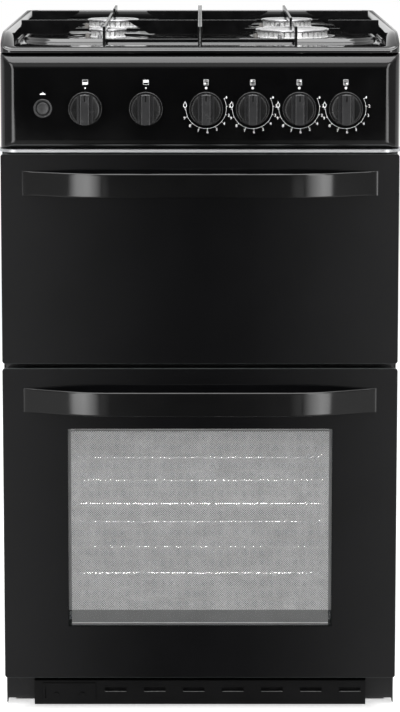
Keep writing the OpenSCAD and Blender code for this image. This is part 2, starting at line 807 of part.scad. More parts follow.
// A leg at the outer end of a finger, slanting down to the hob's floor
module outer_leg(s) upright(s - support_t / 2, s + support_t / 2)
    polygon([[support_half - 1, support_low + 10], [support_half - 1, support_low + 3],
        [support_half + 6, leg_z],
        [support_half + 11, leg_z], [support_half + 4, support_low + 7], [support_half, support_low + 10]]);

// The support on the right, for given openings over the front and the rear burner
module pan_support(front_gap, rear_gap) {
    long_front = front_gap < rear_gap;
    front_end = burner_front_s - front_gap;
    rear_end = burner_rear_s + rear_gap;
    front_tie = burner_front_s + crown_large + tie_back;
    rear_tie = burner_rear_s + crown_mid + tie_back;
    for (row = [[burner_front_s, front_gap], [burner_rear_s, rear_gap]]) {
        finger(support_half, burner_x + row[1], row[0]);
        finger(inner_x, burner_x - row[1], row[0]);
        outer_leg(row[0]);
    }
    block([inner_x - inner_t / 2, leg_s, support_low], [inner_x + inner_t / 2, rear_leg_s, support_top]);
    for (s = [leg_s, rear_leg_s - gusset_l])
        block([inner_x - inner_t / 2, s, leg_z + 2.4], [inner_x + inner_t / 2, s + gusset_l,
            support_low + 1]);
    for (s = [leg_s, rear_leg_s - leg_l]) {
        block([inner_x - inner_t / 2, s, leg_z], [inner_x + inner_t / 2, s + leg_l, support_low]);
        plate_y(burner_x, s, s + leg_l, leg_z, support_top);
    }
    for (s = [leg_s, rear_leg_s - gusset_l]) plate_y(burner_x, s, s + gusset_l, leg_z + 2.4, support_top);
    if (long_front) {
        plate_y(burner_x, leg_s, burner_rear_s - rear_gap, support_top - bar_h, support_top);
        plate_y(burner_x, rear_end, rear_leg_s, support_top - bar_h, support_top);
    } else {
        plate_y(burner_x, leg_s, front_end, support_top - bar_h, support_top);
        plate_y(burner_x, burner_front_s + front_gap, rear_leg_s, support_top - bar_h, support_top);
        plate_y(burner_x, front_tie - 2.5, front_tie + 2.5, plateau_z + seat, support_top);
    }
    for (s = [leg_s + gusset_l - support_t, rear_leg_s - gusset_l + support_t]) tie(burner_x, s, leg_z + 2.4);
    for (s = [front_tie, rear_tie]) tie(tie_x + support_t / 2, s, support_low);
    plate_y(tie_x, burner_front_s, rear_tie, support_low, support_low + tie_h);
}

module pan_support_left() color("#131415") mirror([1, 0, 0]) pan_support(gap_small, gap_wide);
module pan_support_right() color("#131415") pan_support(gap_wide, gap_small);

// Gas parts

module gas_manifold() color("#a9adb0") {
    bar_x(-button_x + 30, feed_x - 14, manifold_s, knob_z, manifold_r);
    rod([feed_x - 16, manifold_s, knob_z], [feed_x, manifold_s + 24, feed_z], manifold_r - 1);
    translate([feed_x, front_y + manifold_s + 24, feed_z]) sphere(r = manifold_r - 0.5);
    bar_y(feed_x, manifold_s + 24, inlet_s - seat, feed_z, manifold_r - 1);
    for (x = [-120, 95, feed_x - 17])
        block([x - 6, manifold_s - 4, tray_top + seat], [x + 6, manifold_s + 4, knob_z - manifold_r + 2]);
}

module gas_taps() color("#b08d4c") for (x = knob_xs) difference() {
    union() {
        bar_y(x, tap_front, tap_back, knob_z, tap_r);
        bar_y(x, tap_front - 6, tap_front + over, knob_z, 7);
        bar_z(x, outlet_s, knob_z, outlet_top, 5.2);
    }
    bar_y(x, tap_front - 7, tap_back - 6, knob_z, spindle_r + spindle_gap);
}

// Way of the tube from a tap to a hob burner's cup
function hob_run(x, b, side) = [
    [x, outlet_s, outlet_top + seat], [x, outlet_s, high_run],
    [b[0] + side, b[1] - 14, high_run], [b[0] + side, b[1] - 14, cup_z - seat],
];

module gas_tubes() color("#c4c7c9") {
    tube_run(hob_run(knob_xs[2], BURNERS[0], 9), tube_r);
    tube_run(hob_run(knob_xs[3], BURNERS[1], 12), tube_r);
    tube_run(hob_run(knob_xs[4], BURNERS[2], 12), tube_r);
    tube_run(hob_run(knob_xs[5], BURNERS[3], 20), tube_r);
    tube_run([[knob_xs[0], outlet_s, outlet_top + seat], [knob_xs[0], outlet_s, low_run],
        [knob_xs[0], rear_s - 40, low_run], [knob_xs[0], rear_s - 40, oven_floor_z + 12],
        [knob_xs[0], oven_burner_s + oven_burner_r + seat, oven_floor_z + 12]], tube_r);
    tube_run([[knob_xs[1], outlet_s, outlet_top + seat], [knob_xs[1], outlet_s, low_run],
        [knob_xs[1], grill_back + 40, low_run], [knob_xs[1], grill_back + 40, grill_burner_z + 7],
        [knob_xs[1], grill_burner_s + grill_burner_d + seat, grill_burner_z + 7]], tube_r);
}

module gas_inlet() color("#b08d4c") {
    bar_y(feed_x, body_d + inlet_out - inlet_l, body_d + inlet_out, feed_z, inlet_r);
    bar_y(feed_x, inlet_s, body_d + inlet_out - inlet_l + over, feed_z, inlet_r - 1);
    translate([feed_x, front_y + rear_s - 16, feed_z]) rotate([90, 0, 0])
        cylinder(r = 13.5, h = 12, $fn = 6);
}

// Oven

module oven_liner() color("#2a2c2f") {
    difference() {
        block([-cavity_half - sheet, frame_back + seat, oven_floor_z - sheet],
            [cavity_half + sheet, oven_back + sheet, oven_mouth_top + sheet]);
        block([-cavity_half, frame_back - over, oven_floor_z], [cavity_half, oven_back, oven_mouth_top]);
        bar_y(knob_xs[0], oven_back - over, oven_back + sheet + over, oven_floor_z + 12, tube_r + 1);
        block([-30, oven_back - over, oven_mouth_top - 34],
            [30, oven_back + sheet + over, oven_mouth_top - 14]);
    }
    difference() {
        block([-cavity_half - liner_flange, frame_back + seat, oven_floor_z - liner_flange],
            [cavity_half + liner_flange, frame_back + seat + sheet, oven_mouth_top + liner_flange]);
        block([-cavity_half, frame_back - over, oven_floor_z],
            [cavity_half, frame_back + sheet + over, oven_mouth_top]);
    }
    both_sides() block([cavity_half - ledge_w, frame_back + 2, floor_plate_z - 4],
        [cavity_half + sheet / 2, oven_back - 2, floor_plate_z - seat]);
}

module oven_floor_plate() color("#2a2c2f") difference() {
    block([-cavity_half + 1, frame_back + 1, floor_plate_z],
        [cavity_half - 1, oven_back - 45, floor_plate_z + sheet]);
    for (i = [-3 : 3])
        block([i * 44 - 12, oven_back - 70, floor_plate_z - over],
            [i * 44 + 12, oven_back - 64, floor_plate_z + sheet + over]);
}

module oven_burner() color("#7d8083") difference() {
    z = oven_floor_z + 12;
    union() {
        bar_x(-oven_burner_l / 2, oven_burner_l / 2, oven_burner_s, z, oven_burner_r);
        for (x = [-90, 90]) block([x - 8, oven_burner_s - 6, oven_floor_z + seat],
            [x + 8, oven_burner_s + 6, z - 4]);
    }
    for (i = [-12 : 12]) block([i * 11 - 0.8, oven_burner_s - 5, z + oven_burner_r - 3],
        [i * 11 + 0.8, oven_burner_s + 5, z + oven_burner_r + over]);
}

module side_rack() {
    for (s = [rack_front_s, rack_front_s + rack_l])
        bar_z(rack_x, s, oven_mouth_z + 20, shelf_high_z + 60, shelf_bar_r);
    for (z = [shelf_low_z - rung_drop, shelf_high_z - rung_drop, shelf_high_z + 54]) {
        bar_y(rung_x, rack_front_s - 6, rack_front_s + rack_l + 6, z, shelf_bar_r - 0.02);
        for (s = [rack_front_s, rack_front_s + rack_l]) bar_x(rung_x, rack_x, s, z, shelf_bar_r - 0.5);
    }
}

module oven_side_racks() color("#c2c6ca") both_sides() side_rack();

module oven_shelf(z) {
    back = shelf_s + shelf_d;
    for (s = [shelf_s, back]) bar_x(-shelf_half, shelf_half, s, z, shelf_bar_r);
    bar_x(-shelf_half, shelf_half, shelf_s + shelf_d * 0.5, z, shelf_bar_r - 0.6);
    both_sides() {
        bar_y(shelf_half, shelf_s, back, z, shelf_bar_r - 0.02);
        rod([shelf_half, back, z], [shelf_half + shelf_ear_lean, back, z + shelf_ear], shelf_bar_r - 0.2);
        for (s = [shelf_s, back]) translate([shelf_half, front_y + s, z]) sphere(r = shelf_bar_r + 0.2);
    }
    for (i = [0 : shelf_wires - 1])
        bar_y((i - (shelf_wires - 1) / 2) * shelf_wire_pitch, shelf_s - 2, back + 2,
            z + shelf_bar_r + shelf_wire_r - 0.5, shelf_wire_r);
}

module oven_shelf_lower() color("#c2c6ca") oven_shelf(shelf_low_z);
module oven_shelf_upper() color("#c2c6ca") oven_shelf(shelf_high_z);

module insulation() color("#d8c98f") difference() {
    out = cavity_half + sheet + seat + wool_t;
    block([-out, frame_back + arm_tail + 10, oven_floor_z],
        [out, oven_back, oven_mouth_top + sheet + seat + wool_top]);
    block([-cavity_half - sheet - seat, frame_back, oven_floor_z - over],
        [cavity_half + sheet + seat, oven_back + over, oven_mouth_top + sheet + seat]);
}

module flue_duct() color("#8f9396") {
    s0 = oven_back + sheet + seat;
    s1 = max(oven_back, grill_back) + sheet + seat + 25;
    s2 = s1 + flue_d;
    difference() {
        union() {
            block([-flue_half, s1, oven_mouth_top - 40], [flue_half, s2, flue_top]);
            block([-34, s0, oven_mouth_top - 38], [34, s1 + over, oven_mouth_top - 10]);
            block([-flue_half, s2 - over, flue_top - 30], [flue_half, rear_s - seat, flue_top]);
        }
        block([-flue_half + 1, s1 + 1, oven_mouth_top - 39], [flue_half - 1, s2 - 1, flue_top - 1]);
        block([-33, s0 - over, oven_mouth_top - 37], [33, s1 + 2, oven_mouth_top - 11]);
        block([-flue_half + 1, s2 - 2, flue_top - 29], [flue_half - 1, rear_s + over, flue_top - 1]);
    }
}

// Grill

module grill_liner() color("#2a2c2f") {
    difference() {
        block([-cavity_half - sheet, frame_back + seat, grill_mouth_z - sheet],
            [cavity_half + sheet, grill_back + sheet, grill_mouth_top + sheet]);
        block([-cavity_half, frame_back - over, grill_mouth_z], [cavity_half, grill_back, grill_mouth_top]);
        bar_y(knob_xs[1], grill_back - over, grill_back + sheet + over, grill_burner_z + 7, tube_r + 1);
    }
    difference() {
        block([-cavity_half - liner_flange, frame_back + seat, grill_mouth_z - liner_flange],
            [cavity_half + liner_flange, frame_back + seat + sheet, grill_mouth_top + liner_flange]);
        block([-cavity_half, frame_back - over, grill_mouth_z],
            [cavity_half, frame_back + sheet + over, grill_mouth_top]);
    }
    both_sides() block([cavity_half - pan_ledge, frame_back + 2, pan_rim_z - pan_t - 0.3 - 4],
        [cavity_half + sheet / 2, grill_back - 2, pan_rim_z - pan_t - 0.3]);
}

module grill_burner() color("#6f7275") difference() {
    union() {
        block([-grill_burner_w / 2, grill_burner_s, grill_burner_z],
            [grill_burner_w / 2, grill_burner_s + grill_burner_d, grill_burner_top]);
        for (x = [-80, 80], s = [grill_burner_s + 20, grill_burner_s + grill_burner_d - 20])
            bar_z(x, s, grill_burner_top - over, grill_mouth_top - seat, 4);
    }
    for (i = [0 : grill_port_n - 1]) {
        pitch = (grill_burner_w - 30) / (grill_port_n - 1);
        x = -grill_burner_w / 2 + 15 + i * pitch;
        block([x - 4, grill_burner_s + 12, grill_burner_z - over],
            [x + 4, grill_burner_s + grill_burner_d - 12, grill_burner_z + 4]);
    }
}

module grill_pan() color("#1e2022") {
    z0 = pan_rim_z - pan_h;
    difference() {
        block([-pan_half, pan_s + pan_rim, z0], [pan_half, pan_s + pan_d - pan_rim, pan_rim_z]);
        block([-pan_half + pan_t, pan_s + pan_rim + pan_t, z0 + pan_t],
            [pan_half - pan_t, pan_s + pan_d - pan_rim - pan_t, pan_rim_z + over]);
    }
    difference() {
        block([-pan_half - pan_rim, pan_s, pan_rim_z - pan_t],
            [pan_half + pan_rim, pan_s + pan_d, pan_rim_z]);
        block([-pan_half + pan_t, pan_s + pan_rim + pan_t, z0],
            [pan_half - pan_t, pan_s + pan_d - pan_rim - pan_t, pan_rim_z + over]);
    }
    both_sides() block([pan_half - 6, pan_s + pan_rim, pan_rim_z - 14],
        [pan_half - pan_t / 2, pan_s + pan_d - pan_rim, pan_rim_z - 12]);
}

module grill_pan_grid() color("#c2c6ca") {
    x = pan_half - pan_t - 5;
    z = pan_rim_z - 12 + seat + 2;
    s0 = pan_s + pan_rim + pan_t + 4;
    s1 = pan_s + pan_d - pan_rim - pan_t - 4;
    for (s = [s0, s1]) bar_x(-x + 2, x - 2, s, z, 2);
    both_sides() bar_y(x - 1, s0 - 2, s1 + 2, z, 2.02);
    for (i = [0 : grid_wires - 1])
        bar_y(-x + 12 + i * (2 * x - 24) / (grid_wires - 1), s0 - 1, s1 + 1, z + 3, 1.4);
}

// Doors

module door_seals() color("#26272a") for (m = [[oven_mouth_z, oven_mouth_top],
    [grill_mouth_z, grill_mouth_top]])
    difference() {
        x = cavity_half + seal_room;
        block([-x - seal_w, door_t + 0.3, m[0] - seal_room - seal_w],
            [x + seal_w, frame_s, m[1] + seal_room + seal_w]);
        block([-x, door_t - over, m[0] - seal_room], [x, frame_s + over, m[1] + seal_room]);
    }

module hinge_arms() color("#b4b7ba") both_sides() for (z = [oven_pivot_z, grill_pivot_z]) {
    across(hinge_x - arm_t / 2, hinge_x + arm_t / 2) {
        translate([pivot_s, z]) circle(r = arm_r);
        translate([pivot_s, z - arm_r]) square([frame_back + arm_tail - pivot_s, 2 * arm_r]);
    }
    block([hinge_x - 5, frame_back + seat, z - 16], [hinge_x + 16, frame_back + seat + 2.5, z + 16]);
    bar_x(hinge_x - pin_half, hinge_x + pin_half, pivot_s, z, pin_r);
}

module door_glass(z, h) {
    upright(0, glass_t) translate([0, z + h / 2]) rounded(door_w, h, door_corner_r);
}

// Folded steel panel behind the outer glass, with cheeks for the hinge pins
module door_panel(z, h) {
    low = z + tray_foot;
    top = z + h - tray_head;
    pivot_z = z + pivot_up;
    arm_room = arm_r + 0.8;
    difference() {
        union() {
            difference() {
                block([-tray_half, glass_t + seat, low], [tray_half, door_t, top]);
                block([-tray_half + sheet, glass_t, low + sheet],
                    [tray_half - sheet, door_t - sheet, top - sheet]);
            }
            both_sides() block([hinge_x - pin_half, glass_t + seat, low],
                [hinge_x + pin_half, door_t, pivot_z + arm_room + sheet]);
        }
        both_sides() {
            block([hinge_x - notch_half, pivot_s - arm_room, low - over],
                [hinge_x + notch_half, door_t + over, pivot_z + arm_room]);
            bar_x(hinge_x - pin_half - over, hinge_x + pin_half + over, pivot_s, pivot_z, pin_r + pin_gap);
        }
    }
}

module oven_door_glass() color("#0b0c0d") door_glass(oven_door_z, oven_door_h);
module grill_door_glass() color("#0b0c0d") door_glass(grill_door_z, grill_door_h);

module oven_door_panel() color("#1d1f21") difference() {
    door_panel(oven_door_z, oven_door_h);
    block([-window_w / 2, door_t - 2 * sheet, oven_door_z + window_foot],
        [window_w / 2, door_t + over, oven_door_z + window_foot + window_h]);
}

module grill_door_panel() color("#1d1f21") door_panel(grill_door_z, grill_door_h);

module oven_door_inner_glass() color("#8c9499") {
    s1 = door_t - sheet - seat;
    block([-window_w / 2 - glass_lap, s1 - inner_glass_t, oven_door_z + window_foot - glass_lap],
        [window_w / 2 + glass_lap, s1, oven_door_z + window_foot + window_h + glass_lap]);
}

// How far the strap stands out at distance x from the middle: full, then falling smoothly to the door
function strap_out(x) = abs(x) <= handle_flat ? handle_out
    : seat + (handle_out - seat) * (1 + cos(180 * (abs(x) - handle_flat) / (handle_half - handle_flat))) / 2;

module handle(top) {
    steps = 14;
    ramp = [for (i = [0 : steps]) handle_flat + (handle_half - handle_flat) * i / steps];
    xs = concat([for (i = [steps : -1 : 0]) -ramp[i]], ramp);
    outer = [for (x = xs) [x, -strap_out(x)]];
    inner = [for (i = [len(xs) - 1 : -1 : 0]) [xs[i], -max(strap_out(xs[i]) - handle_t, seat)]];
    level(top - handle_h, top) polygon(concat(outer, inner));
}

module oven_door_handle() color("#08090a") handle(oven_door_top - oven_handle_drop);
module grill_door_handle() color("#08090a") handle(grill_door_top - grill_handle_drop);

// Controls

module knob(x) color("#1a1b1d") difference() {
    union() {
        bar_y(x, -knob_back_gap - knob_flange_t, -knob_back_gap, knob_z, knob_r);
        bar_y(x, -knob_back_gap - knob_flange_t - 6, -knob_back_gap - 1, knob_z, knob_body_r);
        bar_y(x, -knob_back_gap - 1, -1, knob_z, knob_hole_r - 1.5);
        intersection() {
            block([x - grip_w / 2, -knob_out, knob_z - knob_r],
                [x + grip_w / 2, -knob_back_gap - 1, knob_z + knob_r]);
            bar_y(x, -knob_out - over, 0, knob_z, knob_body_r + 0.7);
        }
    }
    translate([x, front_y, knob_z]) rotate([90, 0, 0]) linear_extrude(18.5) difference() {
        circle(r = spindle_r + spindle_gap);
        translate([-spindle_r - 1, spindle_flat + spindle_gap]) square([2 * spindle_r + 2, spindle_r]);
    }
    bar_y(x, -knob_back_gap, 0, knob_z, spindle_r + spindle_gap);
}

module spindle(x) color("#b08d4c") difference() {
    bar_y(x, -14, tap_back - 8, knob_z, spindle_r);
    block([x - spindle_r - over, -15, knob_z + spindle_flat],
        [x + spindle_r + over, 2, knob_z + spindle_r + over]);
}

module knob_oven() knob(knob_xs[0]);
module knob_grill() knob(knob_xs[1]);
module knob_front_left() knob(knob_xs[2]);
module knob_rear_left() knob(knob_xs[3]);
module knob_rear_right() knob(knob_xs[4]);
module knob_front_right() knob(knob_xs[5]);
module spindle_oven() spindle(knob_xs[0]);
module spindle_grill() spindle(knob_xs[1]);
module spindle_front_left() spindle(knob_xs[2]);
module spindle_rear_left() spindle(knob_xs[3]);
module spindle_rear_right() spindle(knob_xs[4]);
module spindle_front_right() spindle(knob_xs[5]);

module ignition_bezel() color("#141516") difference() {
    union() {
        bar_y(-button_x, -bezel_out, -seat, knob_z, bezel_r);
        bar_y(-button_x, -seat - over, 20, knob_z, button_r + button_gap + 1.5);
    }
    bar_y(-button_x, -bezel_out - over, 21, knob_z, button_r + button_gap);
}

module ignition_button() color("#202225") {
    bar_y(-button_x, -button_out, 15, knob_z, button_r);
}

module ignition_module() color("#3a3d40") {
    block([-button_x - spark_half, 20 + seat, knob_z - spark_half],
        [-button_x + spark_half, switch_back, knob_z + spark_half]);
    block([-button_x - spark_half, switch_back - over, tray_top + seat],
        [-button_x + spark_half, switch_back + spark_l, knob_z + 6]);
}

side_panel_left();
side_panel_right();
rear_panel();
base_pan();
levelling_feet();
plinth();
plinth_plate();
plinth_screws();
front_frame();
fascia();
fascia_trim();
control_tray();
hob_top();
burner_cups();
burner_crowns();
burner_caps();
spark_electrodes();
flame_sensors();
pan_support_left();
pan_support_right();
gas_manifold();
gas_taps();
gas_tubes();
gas_inlet();
oven_liner();
oven_floor_plate();
oven_burner();
oven_side_racks();
grill_liner();
grill_burner();
insulation();
flue_duct();
door_seals();
hinge_arms();
ignition_module();
ignition_bezel();
oven_door_glass();
oven_door_panel();
oven_door_inner_glass();
oven_door_handle();
grill_door_glass();
grill_door_panel();
grill_door_handle();
oven_shelf_lower();
oven_shelf_upper();
grill_pan();
grill_pan_grid();
ignition_button();
knob_oven();
knob_grill();
knob_front_left();
knob_rear_left();
knob_rear_right();
knob_front_right();
spindle_oven();
spindle_grill();
spindle_front_left();
spindle_rear_left();
spindle_rear_right();
spindle_front_right();
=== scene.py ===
import math

import bmesh
import bpy
from mathutils import Matrix, Vector


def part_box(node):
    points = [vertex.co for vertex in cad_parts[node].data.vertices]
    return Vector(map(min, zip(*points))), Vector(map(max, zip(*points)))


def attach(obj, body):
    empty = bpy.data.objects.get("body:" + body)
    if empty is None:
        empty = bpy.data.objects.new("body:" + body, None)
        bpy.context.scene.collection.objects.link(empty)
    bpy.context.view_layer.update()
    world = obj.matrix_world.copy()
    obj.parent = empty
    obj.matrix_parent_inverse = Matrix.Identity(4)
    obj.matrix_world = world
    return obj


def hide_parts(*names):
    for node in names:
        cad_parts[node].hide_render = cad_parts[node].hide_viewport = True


bl_info = {
    "name": "Gas Cooker",
    "version": (1, 0, 0),
    "blender": (4, 5, 0),
    "location": "View3D > Sidebar > Cooker",
    "description": "Dresses the gas cooker: enamel, glass, burners, pan supports, knobs and printed scales",
    "category": "Object",
}

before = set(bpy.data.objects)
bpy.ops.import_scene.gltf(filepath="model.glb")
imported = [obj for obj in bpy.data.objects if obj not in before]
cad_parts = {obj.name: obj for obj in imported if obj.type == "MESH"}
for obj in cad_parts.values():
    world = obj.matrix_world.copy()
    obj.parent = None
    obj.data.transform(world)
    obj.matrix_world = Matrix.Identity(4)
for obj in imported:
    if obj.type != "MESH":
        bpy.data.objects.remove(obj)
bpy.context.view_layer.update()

MM = 0.001

# Edges over this angle in degrees stay sharp; no corner or turned form gets smaller than these
SHARP_ANGLE = 32.0
LEAST_ROUND = 0.05 * MM
LEAST_RADIUS = 0.02 * MM

SIDES = ["oven", "grill", "front_left", "rear_left", "rear_right", "front_right"]


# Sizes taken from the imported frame

def low(piece, axis):
    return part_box(piece)[0][axis]


def high(piece, axis):
    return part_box(piece)[1][axis]


def middle(piece, axis):
    return (low(piece, axis) + high(piece, axis)) / 2


FRONT = low("oven_door_glass", 1)
HALF = high("hob_top", 0)
FASCIA_LOW, FASCIA_TOP = low("fascia", 2), high("fascia", 2)
HOB_LOW, HOB_TOP = low("hob_top", 2), high("hob_top", 2)
HOB_FRONT, HOB_BACK = low("hob_top", 1), high("hob_top", 1)
KNOB_Z = middle("knob_oven", 2)


# Meshes

def add_object(name, data):
    obj = bpy.data.objects.new(name, data)
    bpy.context.scene.collection.objects.link(obj)
    return obj


def shade_smooth(mesh):
    mesh.polygons.foreach_set("use_smooth", [True] * len(mesh.polygons))


def finished(name, bm, smooth=True, angle=SHARP_ANGLE):
    """Makes an object of a bmesh, with its edges over the angle in degrees left sharp"""
    bmesh.ops.recalc_face_normals(bm, faces=bm.faces)
    mesh = bpy.data.meshes.new(name)
    bm.to_mesh(mesh)
    bm.free()
    if smooth:
        shade_smooth(mesh)
        mesh.set_sharp_from_angle(angle=math.radians(angle))
    return add_object(name, mesh)


def ring(bm, points):
    return [bm.verts.new(p) for p in points]


def bridge(bm, a, b, closed=True):
    """Joins two rings of the same count with four-sided faces"""
    count = len(a)
    for i in range(count if closed else count - 1):
        j = (i + 1) % count
        bm.faces.new((a[i], a[j], b[j], b[i]))


def stack(bm, rings, first=False, last=False):
    """Joins a row of rings, and closes the first or last one with a face"""
    made = [ring(bm, points) for points in rings]
    for a, b in zip(made, made[1:]):
        bridge(bm, a, b)
    if first:
        bm.faces.new(list(reversed(made[0])))
    if last:
        bm.faces.new(made[-1])
    return made


def fill_between(bm, loops):
    """Fills the flat space inside the first loop and outside the others"""
    edges = []
    for loop in loops:
        for i, vert in enumerate(loop):
            other = loop[(i + 1) % len(loop)]
            edges.append(bm.edges.get((vert, other)) or bm.edges.new((vert, other)))
    bmesh.ops.triangle_fill(bm, edges=edges, use_beauty=True, use_dissolve=False)


def spaced(start, end, count):
    """Values from the start to the end, with this many steps between them"""
    return [start + (end - start) * i / count for i in range(count + 1)]


def quarter(radius, start, end, steps=4, centre=(0.0, 0.0)):
    """Points along a round about its centre, from the start angle to the end angle in degrees"""
    turns = [math.radians(angle) for angle in spaced(start, end, steps)]
    return [(centre[0] + radius * math.cos(a), centre[1] + radius * math.sin(a)) for a in turns]


def round_rect(width, height, radius, steps=8):
    """Corner-rounded rectangle about the origin, as pairs, turning left"""
    radius = max(radius, LEAST_ROUND)
    points = []
    for turn, (sx, sy) in enumerate([(1, 1), (-1, 1), (-1, -1), (1, -1)]):
        centre = (sx * (width / 2 - radius), sy * (height / 2 - radius))
        points += quarter(radius, 90 * turn, 90 * turn + 90, steps, centre)
    return points


def circle(radius, count=64):
    return quarter(radius, 0, 360, count)[:count]


def lathe(bm, profile, place, count=64):
    """Turns a profile of radius and height pairs; place puts a point into the frame"""
    rings = [[place(x, y, h) for x, y in circle(max(r, LEAST_RADIUS), count)] for r, h in profile]
    stack(bm, rings, first=True, last=True)


def upright_at(x, z):
    """Places a turned form with its axis towards the front"""
    return lambda u, v, h: Vector((x + u, FRONT - h, z + v))


def standing_at(x, y, z):
    """Places a turned form with its axis upright"""
    return lambda u, v, h: Vector((x + u, y + v, z + h))


# How near points are merged and how level faces are joined before the edges over an angle are rounded
MERGE_WITHIN = 0.000002
FLAT_WITHIN = math.radians(0.4)
EASED_OVER = math.radians(28.0)


def eased(piece, name, radius):
    """A copy of a node's form with its sharp edges rounded; it takes the node's place"""
    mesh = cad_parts[piece].data.copy()
    mesh.materials.clear()
    bm = bmesh.new()
    bm.from_mesh(mesh)
    bmesh.ops.remove_doubles(bm, verts=bm.verts, dist=MERGE_WITHIN)
    bmesh.ops.dissolve_limit(bm, angle_limit=FLAT_WITHIN, verts=bm.verts, edges=bm.edges)
    bm.to_mesh(mesh)
    bm.free()
    shade_smooth(mesh)
    obj = add_object(name, mesh)
    bevel = obj.modifiers.new("eased edges", "BEVEL")
    bevel.width = radius
    bevel.segments = 2
    bevel.limit_method = "ANGLE"
    bevel.angle_limit = EASED_OVER
    bevel.use_clamp_overlap = True
    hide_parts(piece)
    return obj


def settle(obj):
    """Keeps the object's form as its modifiers leave it"""
    graph = bpy.context.evaluated_depsgraph_get()
    mesh = bpy.data.meshes.new_from_object(obj.evaluated_get(graph))
    obj.modifiers.clear()
    obj.data = mesh


def cut(obj, cutter):
    """Takes the cutter's form away from the object"""
    tool = obj.modifiers.new("cut", "BOOLEAN")
    tool.operation = "DIFFERENCE"
    tool.solver = "EXACT"
    tool.object = cutter
    settle(obj)
    bpy.data.objects.remove(cutter, do_unlink=True)
    shade_smooth(obj.data)
    obj.data.set_sharp_from_angle(angle=math.radians(SHARP_ANGLE))


def rounded_path(points, radius):
    """A path of straight runs with each bend rounded to the radius"""
    points = [Vector(p) for p in points]
    path = [points[0]]
    for before, corner, after in zip(points, points[1:], points[2:]):
        a, b = (before - corner).normalized(), (after - corner).normalized()
        reach = min(radius, (before - corner).length / 2, (after - corner).length / 2)
        start, end = corner + a * reach, corner + b * reach
        for t in spaced(0, 1, 6):
            path.append(start * (1 - t) ** 2 + corner * 2 * t * (1 - t) + end * t ** 2)
    path.append(points[-1])
    return path


def wirework(name, runs):
    """Round wires: each run is a list of points and a radius"""
    curve = bpy.data.curves.new(name, "CURVE")
    curve.dimensions = "3D"
    curve.bevel_depth = MM
    curve.bevel_resolution = 4
    curve.use_fill_caps = True
    for points, radius in runs:
        spline = curve.splines.new("POLY")
        spline.points.add(len(points) - 1)
        for point, place in zip(spline.points, points):
            point.co = (*place, 1.0)
            point.radius = radius / MM
        spline.use_smooth = True
    return add_object(name, curve)


def dress(obj, body, slot, *finishes):
    """Gives a piece its finishes and its body, and keeps its flat faces flat; the slot is not used"""
    for finish in finishes:
        obj.data.materials.append(finish)
    if obj.type == "MESH" and obj.data.polygons[0].use_smooth:
        even = obj.modifiers.new("even faces", "WEIGHTED_NORMAL")
        even.weight = 75
        even.keep_sharp = True
    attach(obj, body)
    return obj


# Finishes

def fit(tree, made, inputs):
    """Puts numbers, colours or other nodes' outputs on a node's sockets"""
    for socket, value in dict(inputs).items():
        if isinstance(value, bpy.types.NodeSocket):
            tree.links.new(value, made.inputs[socket])
        else:
            made.inputs[socket].default_value = value


def node(tree, kind, inputs=(), **settings):
    """Adds a shader node with its settings and inputs, and gives its outputs"""
    made = tree.nodes.new("ShaderNode" + kind)
    for name, value in settings.items():
        setattr(made, name, value)
    fit(tree, made, inputs)
    return made.outputs


def maths(tree, operation, *values):
    return node(tree, "Math", enumerate(values), operation=operation)[0]


def fresh(name):
    """An empty material with its object coordinates"""
    material = bpy.data.materials.get(name) or bpy.data.materials.new(name)
    material.use_nodes = True
    tree = material.node_tree
    tree.nodes.clear()
    return material, tree, node(tree, "TexCoord")["Object"]


def blank(name):
    """A new material with its shader and object coordinates"""
    material, tree, place = fresh(name)
    shader = tree.nodes.new("ShaderNodeBsdfPrincipled")
    node(tree, "OutputMaterial", {"Surface": shader.outputs["BSDF"]})
    return material, tree, shader, place


def noise(tree, place, scale, detail=4.0, stretch=(1, 1, 1)):
    """Noise over the object, finer with a larger scale and stretched along an axis"""
    spread = node(tree, "Mapping", {"Vector": place, "Scale": stretch})["Vector"]
    return node(tree, "TexNoise", {"Vector": spread, "Scale": scale, "Detail": detail})["Fac"]


def ramp(tree, source, stops):
    """Colours or greys laid along a value"""
    made = tree.nodes.new("ShaderNodeValToRGB")
    elements = made.color_ramp.elements
    while len(elements) < len(stops):
        elements.new(0.5)
    for element, (at, colour) in zip(elements, stops):
        element.position = at
        element.color = (*colour, 1.0) if isinstance(colour, tuple) else (colour, colour, colour, 1.0)
    tree.links.new(source, made.inputs["Fac"])
    return made.outputs["Color"]


def mottled(tree, place, scale, low_value, high_value, detail=4.0, stretch=(1, 1, 1)):
    """A colour or a number that wanders between two values over the piece"""
    return ramp(tree, noise(tree, place, scale, detail, stretch), [(0.3, low_value), (0.7, high_value)])


def bump(tree, shader, source, strength, distance):
    normal = node(tree, "Bump", {"Strength": strength, "Distance": distance, "Height": source})["Normal"]
    tree.links.new(normal, shader.inputs["Normal"])


def tone(colour, factor):
    return tuple(min(1.0, c * factor) for c in colour)


